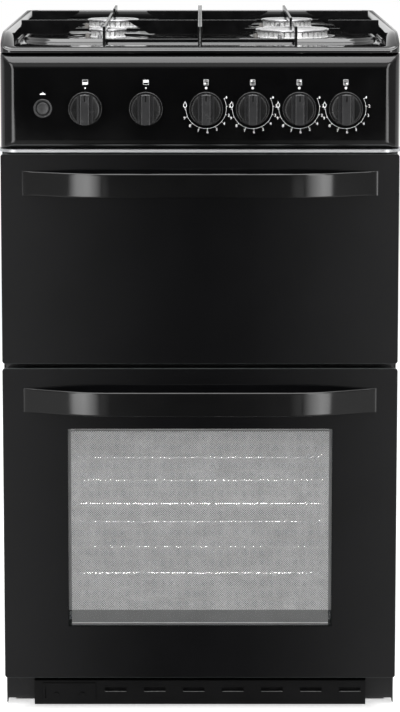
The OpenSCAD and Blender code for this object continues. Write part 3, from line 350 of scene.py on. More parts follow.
# Each plain finish: its colour or the name of a user's colour, the factor on it, the roughness, how far the
# colour and the roughness vary, how fine that is, how deep the surface is in metres, how fine its grain is,
# and its level of gloss, its share of metal and its stretch where they aren't the usual ones
COATINGS = {
    "gloss_enamel": ("enamel", 1.0, 0.05, 0.15, 0.02, 40, 0.00003, 90, {"level": 0.8}),
    "fascia_enamel": ("enamel", 1.0, 0.09, 0.15, 0.03, 40, 0.00002, 120, {"level": 0.4}),
    "handle_finish": ("enamel", 1.0, 0.1, 0.15, 0.03, 40, 0.00001, 200, {"level": 0.45}),
    "support_enamel": ("satin", 0.4, 0.2, 0.25, 0.05, 120, 0.00004, 700, {"level": 0.25}),
    "door_paint": ("satin", 1.0, 0.38, 0.2, 0.06, 30, 0.00003, 700, {}),
    "panel_paint": ("paint", 1.0, 0.3, 0.12, 0.05, 25, 0.00003, 900, {"level": 0.3}),
    "plinth_paint": ("paint", 0.5, 0.4, 0.12, 0.05, 25, 0.00003, 900, {"level": 0.12}),
    # Pale grey for the wires along the plinth slots' feet: a painted highlight
    "worn_edge": ((0.16, 0.16, 0.16), 1.0, 0.4, 0.3, 0.05, 300, 0.00001, 900, {}),
    "cap_finish": ("caps", 1.0, 0.16, 0.2, 0.05, 160, 0.00004, 900, {"metallic": 0.85}),
    "crown_metal": ("crowns", 1.0, 0.34, 0.08, 0.08, 200, 0.00008, 900, {"metallic": 0.3}),
    "black_glass": ("glass", 1.0, 0.02, 0.2, 0.008, 12, 0.0, 600, {"level": "glass_level"}),
    "ground_edge": ((0.02, 0.024, 0.024), 1.0, 0.3, 0.2, 0.06, 80, 0.00002, 900, {}),
    "plain_print": ("dots", 0.27, 0.45, 0.06, 0.05, 40, 0.00001, 400, {}),
    # Pale lines on the window's back: the high one is a painted highlight along the inner opening's top edge, the
    # low one a pale line near the window's foot
    "line_print": ("dots", 1.3, 0.4, 0.05, 0.05, 60, 0.00001, 400, {}),
    "white_print": ((0.85, 0.85, 0.85), 1.0, 0.45, 0.04, 0.05, 200, 0.00001, 900, {}),
    # One knob plastic in two tones: the darker body is painted shade and the paler grip bar is painted light
    "knob_body": ("plastic", 0.3, 0.24, 0.12, 0.04, 150, 0.00002, 900, {}),
    "knob_bar": ("plastic", 1.5, 0.24, 0.12, 0.04, 150, 0.00002, 900, {}),
    "button_plastic": ("plastic", 1.1, 0.4, 0.12, 0.05, 150, 0.00002, 900, {}),
    "bright_metal": ((0.46, 0.47, 0.48), 1.0, 0.34, 0.06, 0.05, 60, 0.00001, 500,
                     {"metallic": 0.75, "stretch": (0.05, 1, 1)}),
    "chrome": ((0.78, 0.79, 0.8), 1.0, 0.2, 0.05, 0.04, 120, 0.00001, 600, {"metallic": 1.0}),
    "brushed_steel": ((0.42, 0.42, 0.43), 1.0, 0.32, 0.15, 0.08, 90, 0.00003, 300,
                      {"metallic": 1.0, "stretch": (0.15, 1, 1)}),
    "cast_aluminium": ((0.6, 0.6, 0.6), 1.0, 0.4, 0.1, 0.08, 150, 0.0001, 700, {"metallic": 0.9}),
    # Base pan behind the plinth's slots: zinc whose near-black colour is painted shade
    "dull_zinc": ((0.006, 0.006, 0.0063), 1.0, 0.6, 0.2, 0.08, 60, 0.00003, 500,
                  {"metallic": 0.5, "level": 0.2}),
    "brass": ((0.62, 0.44, 0.17), 1.0, 0.26, 0.12, 0.06, 130, 0.00003, 500, {"metallic": 1.0}),
    "rubber": ((0.02, 0.02, 0.02), 1.0, 0.75, 0.2, 0.08, 180, 0.0001, 900, {}),
    "mineral_wool": ((0.52, 0.42, 0.2), 1.0, 0.95, 0.35, 0.02, 120, 0.0012, 260, {"stretch": (1, 3, 1)}),
    "electrode_ceramic": ((0.2, 0.19, 0.18), 1.0, 0.22, 0.05, 0.05, 160, 0.00003, 700, {}),
    "box_plastic": ((0.05, 0.052, 0.055), 1.0, 0.5, 0.15, 0.08, 120, 0.00005, 800, {}),
}


def coated(name, colours):
    """A plain finish whose colour, gloss and surface vary a little over the piece"""

    def chosen(value):
        return getattr(colours, value) if isinstance(value, str) else value

    colour, factor, rough, spread, rough_spread, scale, depth, grain, extra = COATINGS[name]
    colour = tone(chosen(colour), factor)
    stretch = extra.get("stretch", (1, 1, 1))
    material, tree, shader, place = blank(name)
    darker, paler = tone(colour, 1 - spread), tone(colour, 1 + spread)
    glossier, duller = max(0.01, rough - rough_spread), rough + rough_spread
    fit(tree, shader, {
        "Base Color": mottled(tree, place, scale, darker, paler, 5.0, stretch),
        "Roughness": mottled(tree, place, scale * 0.6, glossier, duller, 3.0, stretch),
        "Metallic": extra.get("metallic", 0.0),
        "Specular IOR Level": chosen(extra.get("level", 0.5))})
    if depth:
        bump(tree, shader, noise(tree, place, grain, 3.0, stretch), 0.5, depth)
    return material


def cavity_enamel(colours):
    """Dark enamel with pale flecks, as in the oven and the grill"""
    material, tree, shader, place = blank("cavity_enamel")
    flecks = node(tree, "TexVoronoi", {"Vector": place, "Scale": 420.0})["Distance"]
    cavity = tuple(colours.cavity)
    fit(tree, shader, {"Base Color": ramp(tree, flecks, [(0.12, tone(cavity, 5.0)), (0.22, cavity)]),
                       "Roughness": mottled(tree, place, 60.0, 0.18, 0.32)})
    bump(tree, shader, noise(tree, place, 260.0), 0.4, 0.00006)
    return material


def clear_glass():
    """Clear window glass that lets the oven show"""
    material, tree, shader, place = blank("clear_glass")
    fit(tree, shader, {"Roughness": mottled(tree, place, 14.0, 0.012, 0.03),
                       "Base Color": mottled(tree, place, 5.0, (0.02, 0.024, 0.024), (0.03, 0.034, 0.034)),
                       "Alpha": 0.12})
    return material


DOT_PITCH = 2.9 * MM


def dotted_print(colours):
    """Pale dots fired onto the back of the window, in staggered rows"""
    material, tree, shader, place = blank("dotted_print")
    size, grey = colours.dot_size, tuple(colours.dots)

    def from_dot(shift):
        """Distance to the nearest dot's middle in one set of rows, as a share of the pitch"""
        rows = node(tree, "Mapping", {"Vector": place, "Scale": (1 / DOT_PITCH, 0.0, 1 / DOT_PITCH),
                                      "Location": (shift, 0.0, shift)})["Vector"]
        part = node(tree, "VectorMath", {0: rows}, operation="FRACTION")["Vector"]
        off = node(tree, "VectorMath", {0: part, 1: (0.5, 0.0, 0.5)}, operation="SUBTRACT")["Vector"]
        return node(tree, "VectorMath", {0: off}, operation="LENGTH")["Value"]

    nearest = maths(tree, "MINIMUM", from_dot(0.0), from_dot(0.5))
    fit(tree, shader, {"Alpha": ramp(tree, nearest, [(size - 0.03, 0.86), (size + 0.03, 0.33)]),
                       "Base Color": mottled(tree, place, 50.0, tone(grey, 0.9), tone(grey, 1.1))})
    return material


def galvanised():
    """Zinc coated sheet with its spangle"""
    material, tree, shader, place = blank("galvanised")
    spangle = node(tree, "TexVoronoi", {"Vector": place, "Scale": 85.0})["Color"]
    dark, pale = (0.30, 0.31, 0.32), (0.44, 0.45, 0.46)
    fit(tree, shader, {"Base Color": ramp(tree, spangle, [(0.2, dark), (0.8, pale)]),
                       "Roughness": ramp(tree, spangle, [(0.2, 0.3), (0.8, 0.48)]),
                       "Metallic": 0.9})
    bump(tree, shader, noise(tree, place, 200.0), 0.3, 0.00004)
    return material


# Sizes and colours that a user may change

COLOUR = {"subtype": "COLOR", "size": 3, "min": 0, "max": 1}


class CookerColours(bpy.types.PropertyGroup):
    enamel: bpy.props.FloatVectorProperty(
        name="Enamel", description="Gloss enamel of hob, fascia and handles",
        default=(0.0018, 0.0018, 0.0019), **COLOUR)
    satin: bpy.props.FloatVectorProperty(
        name="Satin enamel", description="Enamel of the pan supports and inner panels",
        default=(0.008, 0.008, 0.0085), **COLOUR)
    paint: bpy.props.FloatVectorProperty(
        name="Panel paint", description="Paint of sides and plinth", default=(0.009, 0.009, 0.0095), **COLOUR)
    cavity: bpy.props.FloatVectorProperty(
        name="Cavity enamel", description="Enamel inside the oven and the grill",
        default=(0.05, 0.052, 0.055), **COLOUR)
    caps: bpy.props.FloatVectorProperty(
        name="Burner caps", description="Metal of the burner caps", default=(0.4, 0.4, 0.41), **COLOUR)
    crowns: bpy.props.FloatVectorProperty(
        name="Burner crowns", description="Metal of the burner crowns", default=(0.86, 0.86, 0.86), **COLOUR)
    glass: bpy.props.FloatVectorProperty(
        name="Door glass", description="Black print behind the doors' glass",
        default=(0.0028, 0.0028, 0.0031), **COLOUR)
    glass_level: bpy.props.FloatProperty(
        name="Glass gloss", description="How strongly the doors mirror the room",
        subtype="FACTOR", default=0.35, min=0, max=1)
    dots: bpy.props.FloatVectorProperty(
        name="Window dots", description="Dots fired onto the window", default=(0.47, 0.47, 0.47), **COLOUR)
    dot_size: bpy.props.FloatProperty(
        name="Dot size", description="Radius of a window dot as a share of the dots' pitch",
        subtype="FACTOR", default=0.30, min=0.1, max=0.35)
    plastic: bpy.props.FloatVectorProperty(
        name="Knob plastic", description="Plastic of knobs and button",
        default=(0.012, 0.012, 0.0125), **COLOUR)


class CookerSizes(bpy.types.PropertyGroup):
    edge: bpy.props.FloatProperty(
        name="Sheet edge", description="Radius on the edges of folded sheet",
        unit="LENGTH", default=0.8 * MM, min=0.0001, max=0.002)
    rim: bpy.props.FloatProperty(
        name="Hob rim", description="Width of the hob's raised rim",
        unit="LENGTH", default=3.0 * MM, min=0.002, max=0.005)
    fascia_round: bpy.props.FloatProperty(
        name="Fascia round", description="Radius along the fascia's top",
        unit="LENGTH", default=19.0 * MM, min=0.01, max=0.025)
    fascia_foot: bpy.props.FloatProperty(
        name="Fascia foot", description="Radius along the fascia's lower edge",
        unit="LENGTH", default=10.5 * MM, min=0.003, max=0.012)
    mark_height: bpy.props.FloatProperty(
        name="Number height", description="Height of the numbers on the knob scales",
        unit="LENGTH", default=3.8 * MM, min=0.002, max=0.006)
    scale_radius: bpy.props.FloatProperty(
        name="Scale radius", description="Radius of the printed arc round a knob",
        unit="LENGTH", default=25.3 * MM, min=0.023, max=0.027)
    strap: bpy.props.FloatProperty(
        name="Handle strap", description="Thickness of a handle's strap",
        unit="LENGTH", default=6.0 * MM, min=0.004, max=0.006)


class StudioSettings(bpy.types.PropertyGroup):
    lens: bpy.props.FloatProperty(
        name="Lens", description="Focal length of the camera in millimetres", default=133.7, min=50, max=300)
    lift: bpy.props.FloatProperty(
        name="Camera height", description="Height of the camera over the floor",
        unit="LENGTH", default=1.0820, min=0.3, max=3)
    distance: bpy.props.FloatProperty(
        name="Camera distance", description="From the camera to the doors",
        unit="LENGTH", default=3.2840, min=1, max=10)
    tilt: bpy.props.FloatProperty(
        name="Camera tilt", description="How far the camera looks down",
        subtype="ANGLE", default=math.radians(6.94), min=0, max=1)
    shift: bpy.props.FloatProperty(
        name="Camera shift", description="Shift of the picture as a share of its height",
        default=-0.24, min=-1, max=1)
    panel_light: bpy.props.FloatProperty(
        name="Side light", description="Brightness of the two upright light panels",
        default=5.0, min=0, max=50)
    top_light: bpy.props.FloatProperty(
        name="Top light", description="Brightness of the light panel overhead", default=5.5, min=0, max=50)
    room: bpy.props.FloatProperty(
        name="Room", description="Brightness of the room round the cooker", default=0.45, min=0, max=5)


# Stage

# How far the floor reaches, how bright it is to the camera, and where the cooker keeps it dark: axis, middle, half
FLOOR_REACH = 14.0
FLOOR_GLOW = 0.6
UNDER_COOKER = (("X", 0.0, 0.24), ("Y", 0.02, 0.23))
WHITE = (1, 1, 1, 1)

# Where the cards stand, in metres
STUDIO_HALF, STUDIO_NEAR, STUDIO_FAR, STUDIO_TALL = 3.0, FRONT + 0.02, FRONT - 6.6, 3.2
SIDE_CARD_X, SIDE_CARD_NEAR, SIDE_CARD_TALL = 2.6, -0.1, 2.4
REAR_CARD = (HOB_BACK + 0.7, -0.7, 0.7, 0.868, 0.97)

# Glow of the cards: pairs of a place along the card, in metres from the middle or the floor, and its grey
GROUND_GLOW = ((0, 0.08), (0.06, 0.12), (0.127, 0.29), (0.24, 0.64), (0.35, 0.8))
WALL_GLOW = ((0.0, 0.0), (1.0, 0.02), (2.0, 0.1), (3.2, 0.4))
REAR_GLOW = ((0.905, 0.06), (0.92, 0.2), (0.938, 1.0))
SIDE_GLOW = ((0.0, 0.5), (1.0, 0.4), (2.4, 0.5))

# Cards for the handles: name, y, foot, head, reach, and their glow's places on the left and the right
# as shares of the reach
HANDLE_CARDS = (("low_glow", FRONT - 1.4, 0.02, 0.42, 1.25, (0.31, 0.42, 0.62, 0.85, 1.0)),
                ("high_glow", FRONT - 2.4, 0.25, 0.52, 2.05, (0.23, 0.33, 0.5, 0.75, 0.96)))
RIGHT_SHARES = (0.35, 0.5, 0.75, 0.92, 1.0)
HANDLE_GREYS = (0.02, 0.45, 1.0, 0.85, 0.02)
HANDLE_STRENGTH = 6.5

# Light panels: name, place, what it faces, width and height
TWO_SIDES = (("left_panel", -1), ("right_panel", 1))
TOP_PANEL = ("top_panel", (0, FRONT - 0.45, 2.3), (0, FRONT - 0.45, 0.8), 2.2, 1.6)
OVEN_PANEL = ("oven_glow", (0, FRONT + 0.045, 0.388), (0, FRONT + 0.14, 0.1), 0.32, 0.02)
PANEL_TARGET = (0, 0, 0.5)
OVEN_BRIGHTNESS = 100.0


def light_panel(name, place, target, width, height, radiance):
    """A soft light panel of an even brightness, turned to a target"""
    data = bpy.data.lights.new(name, "AREA")
    data.shape = "RECTANGLE"
    data.size = width
    data.size_y = height
    data.energy = radiance * math.pi * width * height
    obj = add_object(name, data)
    obj.location = place
    obj.rotation_euler = (Vector(target) - Vector(place)).to_track_quat("-Z", "Y").to_euler()


def flat_sheet(name, corners, finish):
    mesh = bpy.data.meshes.new(name)
    mesh.from_pydata(corners, [], [(0, 1, 2, 3)])
    mesh.materials.append(finish)
    return add_object(name, mesh)


def level(left, right, near, far, z):
    """Corners of a level sheet"""
    return [(left, far, z), (right, far, z), (right, near, z), (left, near, z)]


def upright(y, left, right, foot, head):
    """Corners of an upright sheet that faces the cooker"""
    return [(left, y, foot), (right, y, foot), (right, y, head), (left, y, head)]


def seen_directly(tree):
    """One for rays of the camera, of mirrors and of clear glass, nought for the room's own light"""
    path = node(tree, "LightPath")
    mirrored = maths(tree, "MAXIMUM", path["Is Camera Ray"], path["Is Glossy Ray"])
    return maths(tree, "MAXIMUM", mirrored, path["Is Transmission Ray"])


def floor_finish():
    """Pale floor that stays white to the camera, keeps the shadow and is dark under the cooker"""
    material, tree, shader, place = blank("studio_floor")
    split = node(tree, "SeparateXYZ", {0: place})
    clear = 0.0
    for axis, centre, half in UNDER_COOKER:
        away = maths(tree, "ABSOLUTE", maths(tree, "SUBTRACT", split[axis], centre))
        clear = maths(tree, "MAXIMUM", clear, maths(tree, "GREATER_THAN", away, half))
    glow = maths(tree, "MULTIPLY", clear, FLOOR_GLOW)
    fit(tree, shader, {"Base Color": mottled(tree, place, 0.8, 0.86, 0.9),
                       "Roughness": 0.9,
                       "Specular IOR Level": 0.1,
                       "Emission Color": WHITE,
                       "Emission Strength": maths(tree, "MULTIPLY", seen_directly(tree), glow)})
    return material


def card_finish(name, axis, stops, span=1.0, strength=1.0, narrowing=0.0):
    """A card's glow, which follows one axis over its span, and gets wider with the distance to the doors"""
    material, tree, place = fresh(name)
    split = node(tree, "SeparateXYZ", {0: place})
    spread = maths(tree, "MULTIPLY_ADD", split["Y"], -narrowing, span + FRONT * narrowing)
    share = maths(tree, "DIVIDE", maths(tree, "ABSOLUTE", split[axis]), spread)
    grey = ramp(tree, share, [(at / span, grey) for at, grey in stops])
    glow = node(tree, "Emission", {"Strength": strength, "Color": grey})[0]
    node(tree, "OutputMaterial", {"Surface": glow})
    return material


def mirror_card(name, corners, finish):
    """A card that only mirrors see, and that casts no light and no shadow of its own"""
    card = flat_sheet(name, corners, finish)
    card.visible_camera = False
    card.visible_diffuse = False
    card.visible_shadow = False
    card.visible_transmission = False


def light_room(scene, studio):
    """The room's light, with a white backdrop"""
    world = bpy.data.worlds.new("studio_room")
    scene.world = world
    world.use_nodes = True
    tree = world.node_tree
    tree.nodes.clear()
    room, backdrop = [node(tree, "Background", {"Color": WHITE, "Strength": strength})[0]
                      for strength in (studio.room, 1.0)]
    mix = node(tree, "MixShader", {"Fac": seen_directly(tree), 1: room, 2: backdrop})[0]
    node(tree, "OutputWorld", {"Surface": mix})


def set_camera(scene, studio):
    data = bpy.data.cameras.new("camera")
    data.sensor_fit = "AUTO"
    data.sensor_width = 36.0
    data.lens = studio.lens
    data.shift_y = studio.shift
    data.clip_end = 100
    camera = add_object("camera", data)
    camera.location = (0, FRONT - studio.distance, studio.lift)
    camera.rotation_euler = (math.pi / 2 - studio.tilt, 0, 0)
    scene.camera = camera


class COOKER_OT_stage(bpy.types.Operator):
    """Sets up the floor, the light and the camera"""
    bl_idname = "cooker.stage"
    bl_label = "Stage"

    def execute(self, context):
        studio = context.scene.cooker_studio
        flat_sheet("studio_floor", level(-FLOOR_REACH, FLOOR_REACH, FLOOR_REACH, -FLOOR_REACH, 0),
                            floor_finish())
        mirror_card("studio_card", level(-STUDIO_HALF, STUDIO_HALF, STUDIO_NEAR, STUDIO_FAR, 3 * MM),
                    card_finish("studio_card", "X", GROUND_GLOW, narrowing=1 / studio.distance))
        mirror_card("studio_wall", upright(STUDIO_FAR, -STUDIO_HALF, STUDIO_HALF, 0, STUDIO_TALL),
                    card_finish("studio_wall", "Z", WALL_GLOW, STUDIO_TALL))
        mirror_card("studio_rear", upright(*REAR_CARD), card_finish("studio_rear", "Z", REAR_GLOW))
        dim = card_finish("studio_side", "Z", SIDE_GLOW, SIDE_CARD_TALL)
        for name, x in (("left_side_card", -SIDE_CARD_X), ("right_side_card", SIDE_CARD_X)):
            mirror_card(name, [(x, STUDIO_FAR, 0), (x, SIDE_CARD_NEAR, 0), (x, SIDE_CARD_NEAR, SIDE_CARD_TALL),
                               (x, STUDIO_FAR, SIDE_CARD_TALL)], dim)
        for name, y, foot, head, reach, left_shares in HANDLE_CARDS:
            for side, label, shares in ((-1, "_left", left_shares), (1, "_right", RIGHT_SHARES)):
                stops = [(reach * share, grey) for share, grey in zip(shares, HANDLE_GREYS)]
                glow = card_finish("studio_" + name + label, "X", stops, reach, HANDLE_STRENGTH)
                inner, outer = side * reach * shares[0], side * reach * shares[-1]
                mirror_card(name + label, upright(y, inner, outer, foot, head), glow)
        for name, side in TWO_SIDES:
            light_panel(name, (side * 1.25, FRONT - 2.4, 1.3), PANEL_TARGET, 0.7, 2.2, studio.panel_light)
        light_panel(*TOP_PANEL, studio.top_light)
        light_panel(*OVEN_PANEL, OVEN_BRIGHTNESS)
        light_room(context.scene, studio)
        set_camera(context.scene, studio)
        context.scene.view_settings.view_transform = "Standard"
        return {"FINISHED"}


# Hob

# The rim's rounds, how far its inner wall runs in at the back and at the sides, and the arc in which the rim
# falls at the front
RIM_ROUND = 1.2 * MM
RIM_INNER_ROUND = 0.8 * RIM_ROUND
WALL_RUN = 3 * MM
WALL_SPREAD = 14.5 * MM
FALL_REACH = 76 * MM
FALL_RADIUS = 116 * MM
HOB_CORNER = 14 * MM

# Heights of the apron round the plateau, of the plateau and of its dishes, and the plateau's plan and slope
APRON_Z = HOB_LOW + 7 * MM
PLATEAU_Z = APRON_Z + 4.3 * MM
DISH_Z = PLATEAU_Z - 3 * MM
PLATEAU_HALF = HALF - 20 * MM
PLATEAU_FRONT = FRONT + 103 * MM
PLATEAU_BACK = HOB_BACK - 79 * MM
PLATEAU_CORNER = 58 * MM
PLATEAU_FOOT = 1.5 * MM
PLATEAU_RUN = 4.5 * MM
HOB_SHEET = 0.9 * MM

# Where the burners stand, their crowns' radii and counts of flame slots, and the radius of a dish
BURNER_X = 120.4 * MM
BURNER_Y = (FRONT + 168 * MM, FRONT + 386 * MM)
CROWN_SIZES = {"front_left": 22 * MM, "rear_left": 33 * MM, "rear_right": 33 * MM, "front_right": 45.5 * MM}
CROWN_SLOTS = {"front_left": 20, "rear_left": 28, "rear_right": 28, "front_right": 36}
DISH_R = 55 * MM


def burner_place(side):
    """Where a burner's middle stands"""
    return (-BURNER_X if side.endswith("left") else BURNER_X, BURNER_Y[0 if side.startswith("front") else 1])


def rim_height(y):
    """Height of the hob's rim, which falls in an arc at the front"""
    back = FALL_REACH - (y - FRONT)
    if back <= 0:
        return HOB_TOP
    return HOB_TOP - FALL_RADIUS + math.sqrt(FALL_RADIUS ** 2 - back ** 2)


def hob_outline(inset):
    """Plan of the hob, drawn in by the inset, with more points along the sides where the rim falls"""
    depth = HOB_BACK - HOB_FRONT
    radius = max(HOB_CORNER - inset, 2 * MM)
    points = []
    for x, y in round_rect(2 * (HALF - inset), depth - 2 * inset, radius, 10):
        points.append((x, (HOB_FRONT + HOB_BACK) / 2 + y))
    dense = []
    for i, (x, y) in enumerate(points):
        dense.append((x, y))
        nx, ny = points[(i + 1) % len(points)]
        along_side = abs(nx - x) < MM and abs(ny - y) > 100 * MM
        parts = 24 if along_side else 1
        for k in range(1, parts):
            crowded = 1.6
            t = (k / parts) ** crowded if ny > y else 1 - (1 - k / parts) ** crowded
            dense.append((x, y + (ny - y) * t))
    return dense


def eased_step(t):
    """A step from nought to one that starts and ends level"""
    return (1 - math.cos(math.pi * t)) / 2


def hob_pressing(rim):
    """The hob's sheet: its rim, plateau and burner dishes"""
    bm = bmesh.new()

    def on_rim(inset, drop):
        return [Vector((x, y, rim_height(y) - drop)) for x, y in hob_outline(inset)]

    def on_wall(turn):
        """The rim's inner wall: steep at the back, a broad roll along the sides"""
        points = []
        inset = rim + WALL_RUN * math.sin(turn)
        broader = (HALF - rim - WALL_SPREAD * math.sin(turn)) / (HALF - inset)
        for x, y in hob_outline(inset):
            floor = min(APRON_Z, rim_height(y))
            points.append(Vector((x * broader, y, floor + (rim_height(y) - floor) * math.cos(turn))))
        return points

    rings = [[Vector((x, y, HOB_LOW)) for x, y in hob_outline(0)]]
    for out, up in quarter(RIM_ROUND, 0, 90):
        rings.append(on_rim(RIM_ROUND - out, RIM_ROUND - up))
    for out, up in quarter(RIM_INNER_ROUND, 90, 0, 3):
        rings.append(on_rim(rim - RIM_INNER_ROUND + out, RIM_INNER_ROUND - up))
    rings += [on_wall(turn) for turn in spaced(0, math.pi / 2, 10)[1:]]
    made = stack(bm, rings)

    step = PLATEAU_Z - APRON_Z
    centre = (PLATEAU_FRONT + PLATEAU_BACK) / 2

    def plateau_ring(inset, z):
        points = round_rect(2 * (PLATEAU_HALF - inset), PLATEAU_BACK - PLATEAU_FRONT - 2 * inset,
                            PLATEAU_CORNER - inset, 16)
        return [Vector((x, centre + y, z)) for x, y in points]

    hill = stack(bm, [plateau_ring(PLATEAU_RUN * t - PLATEAU_FOOT, APRON_Z + step * eased_step(t))
                      for t in spaced(0, 1, 10)])
    fill_between(bm, [made[-1], hill[0]])

    mouths = []
    for side, crown in CROWN_SIZES.items():
        x, y = burner_place(side)
        place = standing_at(x, y, 0)
        bowl = []
        outer, inner = DISH_R + 1.5 * MM, crown + 6 * MM
        for t in spaced(0, 1, 8):
            fall = (PLATEAU_Z - DISH_Z) * eased_step(min(1, 1.15 * t))
            bowl.append((outer + (inner - outer) * t, PLATEAU_Z - fall))
        bowl += [(crown - 5 * MM, DISH_Z), (crown - 5.6 * MM, DISH_Z - 3 * MM)]
        mouths.append(stack(bm, [[place(u, v, z) for u, v in circle(radius, 72)] for radius, z in bowl])[0])
    fill_between(bm, [hill[-1]] + mouths)
    obj = finished("hob_pressing", bm, angle=40)
    sheet = obj.modifiers.new("sheet", "SOLIDIFY")
    sheet.thickness = HOB_SHEET
    sheet.offset = -1
    return obj


class COOKER_OT_hob(bpy.types.Operator):
    """Makes the hob's pressing with its rim, plateau and burner dishes"""
    bl_idname = "cooker.hob"
    bl_label = "Hob"

    def execute(self, context):
        colours = context.scene.cooker_colours
        pressing = hob_pressing(context.scene.cooker_sizes.rim)
        hob = dress(pressing, "cabinet", "black_enamel", coated("gloss_enamel", colours))
        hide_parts("hob_top")
        return {"FINISHED"}


# A flame slot narrows inwards by this angle in radians on each side
SLOT_TAPER = 0.002


def burner_crown(bm, side):
    """Turned crown with its flame slots"""
    x, y = burner_place(side)
    radius, slots = CROWN_SIZES[side], CROWN_SLOTS[side]
    place = standing_at(x, y, DISH_Z)
    height, slot_h, slot_in = 9.5 * MM, 6.2 * MM, 4.5 * MM
    foot = height - slot_h
    half = 1.2 * MM / radius

    def slotted(depth, h, scale):
        """Outline of the crown at a height, with its slots cut in to the depth"""
        points = []
        for i in range(slots):
            a = 2 * math.pi * (i + 0.5) / slots
            for angle, r in ((a - half, radius), (a - half + SLOT_TAPER, radius - depth),
                             (a + half - SLOT_TAPER, radius - depth), (a + half, radius)):
                points.append(place(r * scale * math.cos(angle), r * scale * math.sin(angle), h))
        return points

    # How deep the slots are, the height, and how far the crown stands out past its radius
    levels = [(0, 0.4 * MM, 1.4 * MM), (0, 2.2 * MM, 1.6 * MM), (0, 2.6 * MM, 1.2 * MM), (0, 2.8 * MM, 0),
              (0, foot, 0), (slot_in, foot, 0), (slot_in, height - 0.4 * MM, 0), (slot_in, height, -0.4 * MM)]
    rings = [slotted(depth, h, (radius + wider) / radius) for depth, h, wider in levels]
    stack(bm, rings, first=True, last=True)


def burner_cap(bm, side):
    """Enamelled cap with a rolled edge, a shallow ring and a low crown"""
    x, y = burner_place(side)
    radius = CROWN_SIZES[side] + 2.6 * MM
    place = standing_at(x, y, DISH_Z + 9.7 * MM)
    profile = [(0, 0), (radius - 3 * MM, 0), (radius - 1.2 * MM, 0.1 * MM)]
    profile += quarter(1.3 * MM, -90, 90, 6, (radius - 1.3 * MM, 1.4 * MM))
    profile += [(radius - 2.6 * MM, 2.55 * MM), (radius - 4 * MM, 2.2 * MM), (radius - 5.5 * MM, 2.15 * MM),
                (radius * 0.55, 2.55 * MM), (radius * 0.3, 2.8 * MM), (0, 2.9 * MM)]
    lathe(bm, profile, place, 80)


class COOKER_OT_burners(bpy.types.Operator):
    """Makes the burner crowns and caps"""
    bl_idname = "cooker.burners"
    bl_label = "Burners"

    def execute(self, context):
        colours = context.scene.cooker_colours
        crown_bm, cap_bm = bmesh.new(), bmesh.new()
        for side in CROWN_SIZES:
            burner_crown(crown_bm, side)
            burner_cap(cap_bm, side)
        castings, discs = finished("crown_castings", crown_bm), finished("cap_discs", cap_bm, angle=50)
        crowns = dress(castings, "cabinet", "aluminium", coated("crown_metal", colours))
        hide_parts("burner_crowns")
        caps = dress(discs, "cabinet", "cap_enamel", coated("cap_finish", colours))
        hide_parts("burner_caps")
        return {"FINISHED"}


class COOKER_OT_supports(bpy.types.Operator):
    """Rounds the edges of the two pan supports"""
    bl_idname = "cooker.supports"
    bl_label = "Pan supports"

    def execute(self, context):
        finish = coated("support_enamel", context.scene.cooker_colours)
        for side in ("left", "right"):
            grate = eased("pan_support_" + side, side + "_grate", 0.6 * MM)
            dress(grate, "cabinet", "matt_enamel", finish)
        return {"FINISHED"}


# Fascia and controls

# The fascia's rounded ends, its sheet, how square its corners are, and its holes' radii
FASCIA_END_ROUND = 20 * MM
FASCIA_SHEET = 1.4 * MM
CORNER_POWER = 2.6
KNOB_HOLE = 8.5 * MM
BUTTON_HOLE = 9.9 * MM


def falling_back(radius, steps):
    """Pairs of how far a round has run along the face and how far it lies behind it, from its edge inwards"""
    return [(radius * (1 - math.sin(a)), radius * (1 - math.cos(a))) for a in spaced(math.pi / 2, 0, steps)]


def fascia_shell(top_round, foot_round):
    """The fascia's sheet: rounded along its top, its ends and its foot"""
    back = high("fascia", 1) - FRONT - 1 * MM
    columns = [(0, back, True)] + [(run, s, False) for run, s in falling_back(FASCIA_END_ROUND, 14)]
    rows = [(FASCIA_LOW, back, True)]
    rows += [(FASCIA_LOW + run, s, False) for run, s in falling_back(foot_round, 8)]
    rows += [(FASCIA_TOP - run, s, False) for run, s in reversed(falling_back(top_round, 16))]
    rows.append((FASCIA_TOP, back, True))
    left = [(-HALF + x, s, edge) for x, s, edge in columns]
    columns = left + [(-x, s, edge) for x, s, edge in reversed(left)]
    bm = bmesh.new()
    grid = []
    for z, fall, edge_row in rows:
        line = []
        for x, end_fall, edge_column in columns:
            s = back
            if not edge_row and not edge_column:
                s = (fall ** CORNER_POWER + end_fall ** CORNER_POWER) ** (1 / CORNER_POWER)
            line.append(bm.verts.new((x, FRONT + s, z)))
        grid.append(line)
    for a, b in zip(grid, grid[1:]):
        bridge(bm, a, b, closed=False)
    obj = finished("fascia_pressing", bm, angle=50)
    sheet = obj.modifiers.new("sheet", "SOLIDIFY")
    sheet.thickness = FASCIA_SHEET
    sheet.offset = -1
    settle(obj)
    bm = bmesh.new()
    holes = [(middle("knob_" + side, 0), KNOB_HOLE) for side in SIDES]
    holes.append((middle("ignition_button", 0), BUTTON_HOLE))
    for x, radius in holes:
        lathe(bm, [(radius, -6 * MM), (radius, 6 * MM)], upright_at(x, KNOB_Z), 48)
    cut(obj, finished("hole_cutter", bm))
    return obj


# Radii and heights of a knob over the doors' plane
SOCKET_R, HUB_R, HUB_FOOT = 3.9 * MM, 6.9 * MM, 1.2 * MM
FLANGE_R, FLANGE_BACK, FLANGE_FACE = 21.2 * MM, 4.2 * MM, 7.6 * MM
DRUM_R, DRUM_TOP = 18.6 * MM, 13.0 * MM
BAR_R, BAR_HALF, BAR_TOP, BAR_FLARE = 19.2 * MM, 5.75 * MM, 25.0 * MM, 7.2 * MM


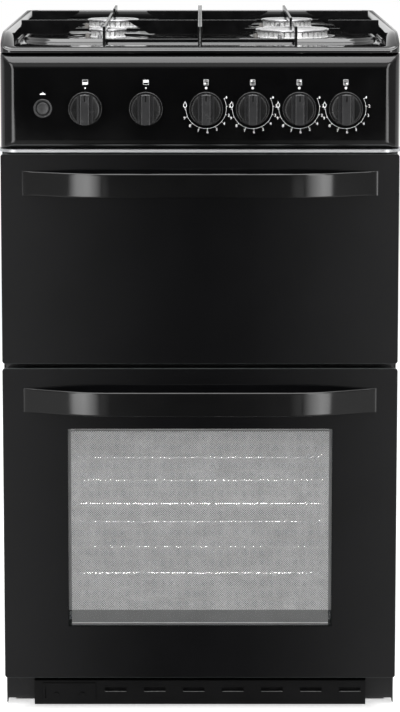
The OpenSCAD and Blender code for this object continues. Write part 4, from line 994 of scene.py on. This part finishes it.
def knob_mesh(name, x, body, bar):
    """One knob: hub, flange with a raised lip, and a grip bar that flares down to the flange"""
    bm = bmesh.new()
    place = upright_at(x, KNOB_Z)
    groove = FLANGE_FACE - 0.5 * MM
    recess = DRUM_TOP - 0.4 * MM
    profile = [(SOCKET_R, HUB_FOOT), (HUB_R, HUB_FOOT), (HUB_R, FLANGE_BACK)]
    profile.append((FLANGE_R - 0.6 * MM, FLANGE_BACK))
    profile += quarter(0.6 * MM, -90, 0, 3, (FLANGE_R - 0.6 * MM, FLANGE_BACK + 0.6 * MM))
    profile += quarter(0.9 * MM, 0, 90, 4, (FLANGE_R - 0.9 * MM, FLANGE_FACE - 0.9 * MM))
    profile += [(FLANGE_R - 1.7 * MM, FLANGE_FACE), (FLANGE_R - 2.1 * MM, groove),
                (18.9 * MM, groove), (DRUM_R, FLANGE_FACE)]
    profile += quarter(1.4 * MM, 0, 90, 4, (DRUM_R - 1.4 * MM, DRUM_TOP - 1.4 * MM))
    profile += [(16.0 * MM, recess), (SOCKET_R, recess)]
    lathe(bm, profile, place, 72)
    turned = set(bm.faces)

    def bar_ring(half_width, radius, height):
        """Outline of the bar at a height: two flat sides between two arcs"""
        start = math.acos(min(0.98, half_width / radius))
        turns = spaced(start, math.pi - start, 12)
        turns += [a + math.pi for a in turns]
        return [place(radius * math.cos(a), radius * math.sin(a), height) for a in turns]

    rings = []
    for t in spaced(0, 1, 8):
        rise = DRUM_TOP - 2.2 * MM + (BAR_TOP - 3.0 * MM - DRUM_TOP) * t
        rings.append(bar_ring(BAR_HALF + 0.25 * MM + BAR_FLARE * (1 - t) ** 2.4, BAR_R, rise))
    for out, up in quarter(1.2 * MM, 0, 90):
        rings.append(bar_ring(BAR_HALF - 1.2 * MM + out, BAR_R - 1.2 * MM + out, BAR_TOP - 1.2 * MM + up))
    stack(bm, rings, first=True, last=True)
    # Slot 0, the turned body, takes the finish with painted shade; slot 1, the grip bar, takes the finish with
    # painted light
    for face in bm.faces:
        face.material_index = 0 if face in turned else 1
    obj = finished(name, bm, angle=38)
    obj.data.materials.append(body)
    obj.data.materials.append(bar)
    bm = bmesh.new()
    notch = [[place(u, v + 14.2 * MM, h) for u, v in round_rect(1.7 * MM, 7.6 * MM, 0.5 * MM, 3)]
             for h in (BAR_TOP - 1.3 * MM, BAR_TOP + 2 * MM)]
    stack(bm, notch, first=True, last=True)
    cut(obj, finished(name + "_notch", bm))
    return obj


def push_button(place):
    """The ignition button: a pin with a rounded, dished head"""
    bm = bmesh.new()
    radius, rear, shoulder = 7.75 * MM, -15 * MM, 2.6 * MM
    profile = [(0, rear), (radius, rear), (radius, shoulder)]
    profile += quarter(0.8 * MM, 0, 90, 4, (radius - 0.8 * MM, shoulder))
    profile += [(5.6 * MM, 3.3 * MM), (5.0 * MM, 2.9 * MM), (2.5 * MM, 2.65 * MM), (0, 2.6 * MM)]
    lathe(bm, profile, place)
    return finished("push_button", bm)


def button_bezel(place):
    """The ring round the button: a sleeve through the fascia with a rolled rim"""
    bm = bmesh.new()
    inner, outer, rear, face = 8.2 * MM, 9.4 * MM, -19.8 * MM, 0.25 * MM
    profile = [(inner, rear), (outer, rear), (outer, face), (11.4 * MM, face)]
    profile += quarter(0.75 * MM, -20, 90, 5, (11.05 * MM, 1.0 * MM))
    profile += [(10.2 * MM, 1.7 * MM), (9.2 * MM, 1.3 * MM), (inner, 0.6 * MM)]
    made = stack(bm, [[place(u, v, h) for u, v in circle(r)] for r, h in profile])
    bridge(bm, made[-1], made[0])
    return finished("button_bezel", bm)


class COOKER_OT_controls(bpy.types.Operator):
    """Makes the fascia, the six knobs, the ignition button and its bezel"""
    bl_idname = "cooker.controls"
    bl_label = "Controls"

    def execute(self, context):
        colours, sizes = context.scene.cooker_colours, context.scene.cooker_sizes
        shell = fascia_shell(sizes.fascia_round, sizes.fascia_foot)
        fascia = dress(shell, "cabinet", "black_enamel", coated("fascia_enamel", colours))
        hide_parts("fascia")
        # The knobs' body and bar finishes are one plastic with painted shade and painted light
        body, bar, satin = [coated(name, colours) for name in ("knob_body", "knob_bar", "button_plastic")]
        for side in SIDES:
            knob = knob_mesh("grip_" + side, middle("knob_" + side, 0), body, bar)
            dress(knob, "dial_" + side, "black_plastic")
            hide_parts("knob_" + side)
        place = upright_at(middle("ignition_button", 0), KNOB_Z)
        button = dress(push_button(place), "button", "black_plastic", satin)
        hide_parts("ignition_button")
        bezel = dress(button_bezel(place), "cabinet", "black_plastic", satin)
        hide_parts("ignition_bezel")
        return {"FINISHED"}


# Printed marks

PRINT_THICK = 0.06 * MM
PRINT_SUNK = 0.05 * MM


def printed(points, h):
    """Points of a mark on the fascia, at a height over its face"""
    return [Vector((x, FRONT - h, z)) for x, z in points]


def mark(bm, outline):
    """A printed mark: an outline of x and z pairs on the fascia, a hair thick"""
    stack(bm, [printed(outline, -PRINT_SUNK), printed(outline, PRINT_THICK)], first=True, last=True)


def band_mark(bm, outer, inner, closed=True):
    """A printed band between two outlines; an open one gets two ends"""
    loops = [ring(bm, printed(points, h)) for points, h in ((outer, -PRINT_SUNK), (outer, PRINT_THICK),
                                                            (inner, PRINT_THICK), (inner, -PRINT_SUNK))]
    for a, b in zip(loops, loops[1:] + loops[:1]):
        bridge(bm, a, b, closed)
    if not closed:
        for end in (0, -1):
            bm.faces.new([loop[end] for loop in loops])


def hollow_mark(bm, outline, share):
    """A printed mark with the same outline left clear inside it, drawn to the share of its size"""
    cx = sum(x for x, z in outline) / len(outline)
    cz = sum(z for x, z in outline) / len(outline)
    band_mark(bm, outline, [(cx + (x - cx) * share, cz + (z - cz) * share) for x, z in outline])


def box_mark(bm, x, z, width, height, radius=0.2 * MM):
    """A printed rectangle with rounded corners"""
    mark(bm, [(x + u, z + v) for u, v in round_rect(width, height, radius, 2)])


def frame_mark(bm, x, z, width, height, line):
    """A hollow square of four bars"""
    for side in (-1, 1):
        box_mark(bm, x + side * (width - line) / 2, z, line, height, 0.1 * MM)
        box_mark(bm, x, z + side * (height - line) / 2, width - 2 * line, line, 0.05 * MM)


def around(x, z, radius, angle):
    """A point round a knob; angles run clockwise from the top"""
    return x + radius * math.sin(angle), z + radius * math.cos(angle)


def arc_mark(bm, x, z, radius, start, end, line):
    """A printed arc"""
    angles = spaced(start, end, 72)
    outer = [around(x, z, radius + line / 2, a) for a in angles]
    inner = [around(x, z, radius - line / 2, a) for a in angles]
    band_mark(bm, outer, inner, closed=False)


def flame_outline(x, z, height):
    """A flame: round below and narrow above, with a short tip"""
    points = []
    for i in range(20):
        a = 2 * math.pi * i / 20
        width = 0.30 * height * (1 - 0.55 * max(0.0, math.cos(a)))
        tip = 0.12 * height if i == 0 else 0
        points.append((x - width * math.sin(a), z + 0.5 * height * math.cos(a) + tip))
    return points


# A font's size is this much more than the height of its digits
DIGIT_SIZE = 1.37


def digits(text, x, z, height):
    """The outline of a number as a mesh, standing on the fascia"""
    curve = bpy.data.curves.new("number", "FONT")
    curve.body = text
    curve.size = height * DIGIT_SIZE
    curve.align_x = "CENTER"
    curve.align_y = "CENTER"
    curve.extrude = PRINT_THICK / 2
    curve.resolution_u = 3
    obj = add_object("number", curve)
    standing = Matrix.Rotation(math.pi / 2, 4, "X")
    obj.matrix_world = Matrix.Translation((x, FRONT - PRINT_THICK / 2, z)) @ standing
    bpy.context.view_layer.update()
    mesh = bpy.data.meshes.new_from_object(obj.evaluated_get(bpy.context.evaluated_depsgraph_get()))
    mesh.transform(obj.matrix_world)
    bpy.data.objects.remove(obj, do_unlink=True)
    return mesh


# Where a scale starts, its ticks, and where its numbers, flames and the signs over the knobs stand
SCALE_START = math.radians(61.5)
SCALE_STEP = math.radians(23.0)
SCALE_TICKS = 10
SCALE_END = SCALE_START + (SCALE_TICKS - 1) * SCALE_STEP
ARC_LINE = 0.32 * MM
TICK_HALF = 0.28 * MM
NUMBER_OUT = 4.3 * MM
SMALL_FLAME_OUT, SMALL_FLAME = 3.6 * MM, 3.1 * MM
LARGE_FLAME_RADIUS, LARGE_FLAME, LARGE_FLAME_TURN = 26.6 * MM, 7.4 * MM, math.radians(11)
ICON_Z = KNOB_Z + 32.6 * MM
DOT_Z = KNOB_Z + 25.5 * MM
SPARK_Z = KNOB_Z + 18.2 * MM
HOB_ICON_CORNERS = {"front_left": (-1, -1), "rear_left": (-1, 1), "rear_right": (1, 1), "front_right": (1, -1)}

# The spark sign's outline in millimetres
SPARK = [(-3.8, -1.2), (3.8, -1.2), (3.2, 0.2), (1.3, 0.8), (0.4, 2.4), (-0.4, 0.9), (-3.0, 0.4)]


def compartment_icon(bm, x, side):
    """A square with a block low down for the oven, or high up for the grill"""
    block = 3.0 * MM
    frame_mark(bm, x, ICON_Z, 7.1 * MM, 6.2 * MM, 0.35 * MM)
    sign = -1 if side == "oven" else 1
    box_mark(bm, x, ICON_Z + sign * (2.6 * MM - block / 2), 6.2 * MM, block)


def burner_icon(bm, x, side):
    """A square with a dot for the knob's burner and small squares for the others"""
    frame_mark(bm, x, ICON_Z, 6.1 * MM, 7.1 * MM, 0.3 * MM)
    for corner in HOB_ICON_CORNERS.values():
        cx, cz = x + corner[0] * 1.35 * MM, ICON_Z + corner[1] * 1.6 * MM
        if corner == HOB_ICON_CORNERS[side]:
            mark(bm, [(cx + u, cz + v) for u, v in circle(1.25 * MM, 16)])
        else:
            frame_mark(bm, cx, cz, 1.7 * MM, 1.7 * MM, 0.22 * MM)


def knob_scale(bm, x, radius, number_height):
    """The arc round a hob knob with its ticks and flames; gives the meshes of its numbers"""
    arc_mark(bm, x, KNOB_Z, radius, SCALE_START, SCALE_END, ARC_LINE)
    meshes = []
    for k in range(SCALE_TICKS):
        a = SCALE_START + k * SCALE_STEP
        along = Vector((math.sin(a), math.cos(a)))
        across = Vector((along.y, -along.x)) * TICK_HALF
        inner = Vector((x, KNOB_Z)) + along * (radius - 0.3 * MM)
        outer = Vector((x, KNOB_Z)) + along * (radius + 1.7 * MM)
        mark(bm, [tuple(inner - across), tuple(inner + across), tuple(outer + across), tuple(outer - across)])
        if 1 <= k <= 8:
            meshes.append(digits(str(k + 1), *around(x, KNOB_Z, radius + NUMBER_OUT, a), number_height))
    mark(bm, flame_outline(*around(x, KNOB_Z, radius + SMALL_FLAME_OUT, SCALE_START), SMALL_FLAME))
    large = around(x, KNOB_Z, LARGE_FLAME_RADIUS, SCALE_END + LARGE_FLAME_TURN)
    hollow_mark(bm, flame_outline(*large, LARGE_FLAME), 0.7)
    return meshes


class COOKER_OT_marks(bpy.types.Operator):
    """Prints the symbols, the scales and their numbers on the fascia"""
    bl_idname = "cooker.marks"
    bl_label = "Printed marks"

    def execute(self, context):
        colours, sizes = context.scene.cooker_colours, context.scene.cooker_sizes
        bm = bmesh.new()
        meshes = []
        for side in SIDES:
            x = middle("knob_" + side, 0)
            hob = side in HOB_ICON_CORNERS
            mark(bm, [(x + u, DOT_Z + v) for u, v in circle(1.6 * MM if hob else 1.0 * MM, 20)])
            if hob:
                burner_icon(bm, x, side)
                meshes += knob_scale(bm, x, sizes.scale_radius, sizes.mark_height)
            else:
                compartment_icon(bm, x, side)
        x = middle("ignition_button", 0)
        mark(bm, [(x + u * MM, SPARK_Z + v * MM) for u, v in SPARK])
        for mesh in meshes:
            bm.from_mesh(mesh)
            bpy.data.meshes.remove(mesh)
        white = coated("white_print", colours)
        dress(finished("fascia_print", bm, smooth=False), "cabinet", "electrode", white)
        return {"FINISHED"}


# Doors

# Half width, foot and head of the clear window and of its dotted part
WINDOW_HALF, WINDOW_FOOT, WINDOW_HEAD = 168 * MM, 114.6 * MM, 371.4 * MM
DOTS_HALF, DOTS_FOOT, DOTS_HEAD = 163.6 * MM, 135.3 * MM, 367.6 * MM
PANE_EDGE = 0.6 * MM
PANE_CORNER = 4 * MM


def rectangle(left, right, foot, head, s):
    """Corners of an upright rectangle, at a depth behind the doors' face"""
    return [Vector((x, FRONT + s, z)) for x, z in ((left, foot), (right, foot), (right, head), (left, head))]


def door_pane(name, piece, window=False):
    """A door's outer glass with ground edges; slot 1 is its edge and slot 2 its clear window"""
    lowest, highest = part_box(piece)
    width, height = highest[0] - lowest[0], highest[2] - lowest[2]
    thick = highest[1] - lowest[1]
    z = (highest[2] + lowest[2]) / 2
    slight = 0.3 * PANE_EDGE
    bm = bmesh.new()

    def outline(inset, s):
        points = round_rect(width - 2 * inset, height - 2 * inset, PANE_CORNER - inset)
        return [Vector((x, FRONT + s, z + v)) for x, v in points]

    face_edge = [outline(PANE_EDGE, 0), outline(slight, slight), outline(0, PANE_EDGE)]
    back_edge = [outline(0, thick - PANE_EDGE), outline(slight, thick - slight), outline(PANE_EDGE, thick)]
    made = stack(bm, face_edge + back_edge)
    for face in bm.faces:
        face.material_index = 1
    for loop, s in ((made[0], 0.0), (made[-1], thick)):
        if window:
            hole = ring(bm, rectangle(-WINDOW_HALF, WINDOW_HALF, WINDOW_FOOT, WINDOW_HEAD, s))
            fill_between(bm, [loop, hole])
            bm.faces.new(hole).material_index = 2
        else:
            bm.faces.new(loop)
    return finished(name, bm, angle=20)


def window_layer(name, left, right, foot, head, s0, s1):
    """A layer on the window's back: print, or a pale line; the high line's colour is a painted highlight"""
    bm = bmesh.new()
    stack(bm, [rectangle(left, right, foot, head, s) for s in (s0, s1)], first=True, last=True)
    return finished(name, bm, smooth=False)


# A handle's strap: where it is level, where its bend ends, where it meets the door, and how far it stands out
STRAP_LEVEL, STRAP_BENT, STRAP_END, STRAP_TIP = 112 * MM, 176 * MM, 223 * MM, 222.6 * MM
STRAP_OUT, STRAP_SEAT = 30 * MM, 0.2 * MM
STRAP_SLOPE = (STRAP_OUT - STRAP_SEAT) / (STRAP_END - (STRAP_LEVEL + STRAP_BENT) / 2)


def strap_out(x):
    """How far a handle stands out: level in its middle, then a bend, then straight down to its seat"""
    if abs(x) <= STRAP_LEVEL:
        return STRAP_OUT
    if abs(x) >= STRAP_BENT:
        return STRAP_SEAT + STRAP_SLOPE * (STRAP_END - abs(x))
    return STRAP_OUT - STRAP_SLOPE * (abs(x) - STRAP_LEVEL) ** 2 / (2 * (STRAP_BENT - STRAP_LEVEL))


def bowed_handle(name, piece, strap):
    """A flat strap that bows out from the door and thins into its ends"""
    foot, head = low(piece, 2), high(piece, 2)
    z, height = (foot + head) / 2, head - foot
    bm = bmesh.new()
    bend = spaced(STRAP_LEVEL, STRAP_TIP, 30)
    stations = [-x for x in reversed(bend)] + spaced(-100 * MM, 100 * MM, 8) + bend
    rings = []
    for x in stations:
        out = strap_out(x)
        inner = max(out - strap, 0.25 * MM)
        thick = max(out - inner, 0.5 * MM)
        centre = inner + thick / 2
        rounding = min(2.4 * MM, thick * 0.46)
        section = round_rect(thick, height, rounding, 6)
        rings.append([Vector((x, FRONT - centre - u, z + v)) for u, v in section])
    stack(bm, rings, first=True, last=True)
    return finished(name, bm, angle=40)


class COOKER_OT_doors(bpy.types.Operator):
    """Makes both doors: glass, printed window, inner panels and handles"""
    bl_idname = "cooker.doors"
    bl_label = "Doors"

    def execute(self, context):
        colours, sizes = context.scene.cooker_colours, context.scene.cooker_sizes
        glass, edge, clear = coated("black_glass", colours), coated("ground_edge", colours), clear_glass()
        pane = door_pane("oven_door_pane", "oven_door_glass", window=True)
        oven = dress(pane, "oven_door", "black_glass", glass, edge, clear)
        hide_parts("oven_door_glass")
        pane = door_pane("grill_door_pane", "grill_door_glass")
        grill = dress(pane, "grill_door", "black_glass", glass, edge)
        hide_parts("grill_door_glass")
        thick = high("oven_door_glass", 1) - FRONT
        s0, s1 = thick + 0.02 * MM, thick + 0.08 * MM
        line_s0, line_s1 = s0 - 0.015 * MM, s0 - 0.005 * MM
        margin = WINDOW_HALF - 0.5 * MM
        band, line, half = coated("plain_print", colours), coated("line_print", colours), DOTS_HALF
        layers = [("window_dots", -half, half, DOTS_FOOT, DOTS_HEAD, s0, s1, dotted_print(colours)),
                  ("window_strip", -half, half, WINDOW_FOOT + 0.5 * MM, DOTS_FOOT, s0, s1, band),
                  ("window_band_left", -margin, -half, DOTS_FOOT, DOTS_HEAD, s0, s1, band),
                  ("window_band_right", half, margin, DOTS_FOOT, DOTS_HEAD, s0, s1, band),
                  ("window_band_top", -margin, margin, DOTS_HEAD, WINDOW_HEAD - 0.5 * MM, s0, s1, band)]
        # Two pale lines: the high one along the inner opening's top edge is a painted highlight; the low one lies
        # near the window's foot
        for name, z in (("window_line_low", 118.4 * MM), ("window_line_high", 370.4 * MM)):
            layers.append((name, -half, half, z - 0.4 * MM, z + 0.4 * MM, line_s0, line_s1, line))
        for *extent, finish in layers:
            dress(window_layer(*extent), "oven_door", "clear_glass", finish)
        for side in ("oven", "grill"):
            strap = bowed_handle(side + "_strap", side + "_door_handle", sizes.strap)
            dress(strap, side + "_door", "handle_metal", coated("handle_finish", colours))
            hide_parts(side + "_door_handle")
            tray = eased(side + "_door_panel", side + "_door_tray", sizes.edge)
            dress(tray, side + "_door", "black_paint", coated("door_paint", colours))
        inner = eased("oven_door_inner_glass", "oven_inner_pane", 0.5 * MM)
        dress(inner, "oven_door", "clear_glass", clear)
        return {"FINISHED"}


# Cabinet

# The plinth's slots: their count, the first one's middle, their pitch, and the pale wire along each one's foot, a
# painted highlight of its lip
SLOT_COUNT = 7
FIRST_SLOT_X, SLOT_PITCH = -108.8 * MM, 50.4 * MM
SLOT_LIP_HALF, SLOT_FOOT = 13.6 * MM, 20.9 * MM


class COOKER_OT_cabinet(bpy.types.Operator):
    """Finishes the sides, the back, the plinth, the trim and the feet"""
    bl_idname = "cooker.cabinet"
    bl_label = "Cabinet"

    def execute(self, context):
        colours, sizes = context.scene.cooker_colours, context.scene.cooker_sizes
        plan = [("side_panel_left", "left_side", sizes.edge, "black_paint", "panel_paint"),
                ("side_panel_right", "right_side", sizes.edge, "black_paint", "panel_paint"),
                ("plinth", "plinth_pressing", 0.6 * MM, "black_paint", "plinth_paint"),
                ("plinth_plate", "access_plate", 0.4 * MM, "black_paint", "plinth_paint"),
                ("front_frame", "frame_pressing", 0.5 * MM, "black_paint", "door_paint"),
                ("fascia_trim", "trim_strip", 0.9 * MM, "bright_trim", "bright_metal"),
                ("rear_panel", "back_sheet", 0.5 * MM, "galvanised", None),
                # The base pan's finish has painted shade in its colour, so the plinth's slots look dark
                ("base_pan", "base_sheet", 0.5 * MM, "galvanised", "dull_zinc"),
                ("levelling_feet", "screw_feet", 0.8 * MM, "rubber", "rubber")]
        for piece, name, radius, slot, finish in plan:
            material = coated(finish, colours) if finish else galvanised()
            dress(eased(piece, name, radius), "cabinet", slot, material)
        # Pale wires along the slots' feet, whose colour is a painted highlight of the lips
        runs = []
        for i in range(SLOT_COUNT):
            x, y = FIRST_SLOT_X + SLOT_PITCH * i, low("plinth", 1) + 0.5 * MM
            runs.append(([(x - SLOT_LIP_HALF, y, SLOT_FOOT), (x + SLOT_LIP_HALF, y, SLOT_FOOT)], 0.35 * MM))
        dress(wirework("slot_lips", runs), "cabinet", "black_paint", coated("worn_edge", colours))
        return {"FINISHED"}


# Inside

# A shelf: radii of its frame's wires, its height over the box's foot, and its cross wires
RAIL_R, SIDE_R, BACK_R, MIDDLE_R, CROSS_R = 3.0 * MM, 2.9 * MM, 2.0 * MM, 1.4 * MM, 1.8 * MM
FRAME_INSET, FRAME_RISE, SIDE_INSET = 3.2 * MM, 3.2 * MM, 6.8 * MM
EAR_OUT, EAR_UP, EAR_BEND = 4 * MM, 20 * MM, 10 * MM
CROSS_COUNT, CROSS_PITCH, CROSS_RISE, CROSS_INSET = 10, 35.5 * MM, 4.3 * MM, 0.6 * MM


def shelf_runs(piece):
    """The wires of a shelf: a frame with turned-up ears at the back, and cross wires on top"""
    lowest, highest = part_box(piece)
    half, (y0, z0), y1 = highest[0] - SIDE_INSET, lowest[1:], highest[1]
    front, back, z = y0 + FRAME_INSET, y1 - FRAME_INSET, z0 + FRAME_RISE
    centre = (front + back) / 2
    ears = rounded_path([(-half - EAR_OUT, back, z + EAR_UP), (-half, back, z), (half, back, z),
                         (half + EAR_OUT, back, z + EAR_UP)], EAR_BEND)
    runs = [([(-half, front, z), (half, front, z)], RAIL_R), (ears, BACK_R),
            ([(-half, centre, z), (half, centre, z)], MIDDLE_R)]
    for x in (-half, half):
        runs.append(([(x, front - 2 * MM, z), (x, back + 2 * MM, z)], SIDE_R))
    for i in range(CROSS_COUNT):
        x = (i - (CROSS_COUNT - 1) / 2) * CROSS_PITCH
        runs.append(([(x, y0 + CROSS_INSET, z + CROSS_RISE), (x, y1 - CROSS_INSET, z + CROSS_RISE)], CROSS_R))
    return runs


def paint_node(piece, finish):
    """Gives a node of the frame its finish"""
    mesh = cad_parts[piece].data
    mesh.materials.clear()
    mesh.materials.append(finish)


class COOKER_OT_wires(bpy.types.Operator):
    """Bends the wires of the shelves, and plates their racks and the grill pan's grid"""
    bl_idname = "cooker.wires"
    bl_label = "Wirework"

    def execute(self, context):
        plate = coated("chrome", context.scene.cooker_colours)
        for place in ("lower", "upper"):
            piece = "oven_shelf_" + place
            wires = wirework(place + "_shelf_wires", shelf_runs(piece))
            shelf = dress(wires, place + "_shelf", "chrome_wire", plate)
            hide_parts(piece)
        for piece in ("oven_side_racks", "grill_pan_grid"):
            paint_node(piece, plate)
        return {"FINISHED"}


# Finishes of the pieces that keep their CAD form
INSIDE = {"oven_burner": "brushed_steel", "grill_burner": "brushed_steel", "hinge_arms": "brushed_steel",
          "flame_sensors": "brushed_steel", "plinth_screws": "plinth_paint", "gas_manifold": "cast_aluminium",
          "gas_tubes": "cast_aluminium", "burner_cups": "cast_aluminium", "gas_taps": "brass",
          "gas_inlet": "brass", "door_seals": "rubber", "insulation": "mineral_wool",
          "spark_electrodes": "electrode_ceramic", "ignition_module": "box_plastic"}


class COOKER_OT_inside(bpy.types.Operator):
    """Finishes the compartments, the burners, the gas parts and the hinges"""
    bl_idname = "cooker.inside"
    bl_label = "Inside"

    def execute(self, context):
        colours = context.scene.cooker_colours
        enamel, zinc = cavity_enamel(colours), galvanised()
        for piece, name, body in (("oven_liner", "oven_cavity", "cabinet"),
                                  ("grill_liner", "grill_cavity", "cabinet"),
                                  ("oven_floor_plate", "oven_floor_sheet", "cabinet"),
                                  ("grill_pan", "grill_tray_pressing", "grill_tray")):
            dress(eased(piece, name, 0.5 * MM), body, "cavity_enamel", enamel)
        for piece, finish in INSIDE.items():
            paint_node(piece, coated(finish, colours))
        for piece in ("control_tray", "flue_duct"):
            paint_node(piece, zinc)
        for side in SIDES:
            paint_node("spindle_" + side, coated("brass", colours))
        return {"FINISHED"}


class COOKER_PT_panel(bpy.types.Panel):
    """Lists the cooker's groups of pieces"""
    bl_idname = "COOKER_PT_panel"
    bl_label = "Cooker"
    bl_space_type = "VIEW_3D"
    bl_region_type = "UI"
    bl_category = "Cooker"

    def draw(self, context):
        for operator in OPERATORS:
            self.layout.operator(operator.bl_idname)
        for group in ("cooker_sizes", "cooker_colours", "cooker_studio"):
            settings = getattr(context.scene, group)
            for name in settings.bl_rna.properties.keys():
                if name not in {"rna_type", "name"}:
                    self.layout.prop(settings, name)


OPERATORS = (COOKER_OT_stage, COOKER_OT_hob, COOKER_OT_burners, COOKER_OT_supports, COOKER_OT_controls,
             COOKER_OT_marks, COOKER_OT_doors, COOKER_OT_cabinet, COOKER_OT_wires, COOKER_OT_inside)
GROUPS = {"cooker_sizes": CookerSizes, "cooker_colours": CookerColours, "cooker_studio": StudioSettings}


def register():
    for item in (*GROUPS.values(), *OPERATORS, COOKER_PT_panel):
        bpy.utils.register_class(item)
    for name, group in GROUPS.items():
        setattr(bpy.types.Scene, name, bpy.props.PointerProperty(type=group))


def unregister():
    for name in GROUPS:
        delattr(bpy.types.Scene, name)
    for item in reversed((*GROUPS.values(), *OPERATORS, COOKER_PT_panel)):
        bpy.utils.unregister_class(item)


def main():
    register()
    for operator in OPERATORS:
        group, name = operator.bl_idname.split(".")
        getattr(getattr(bpy.ops, group), name)()


if __name__ == "__main__":
    main()
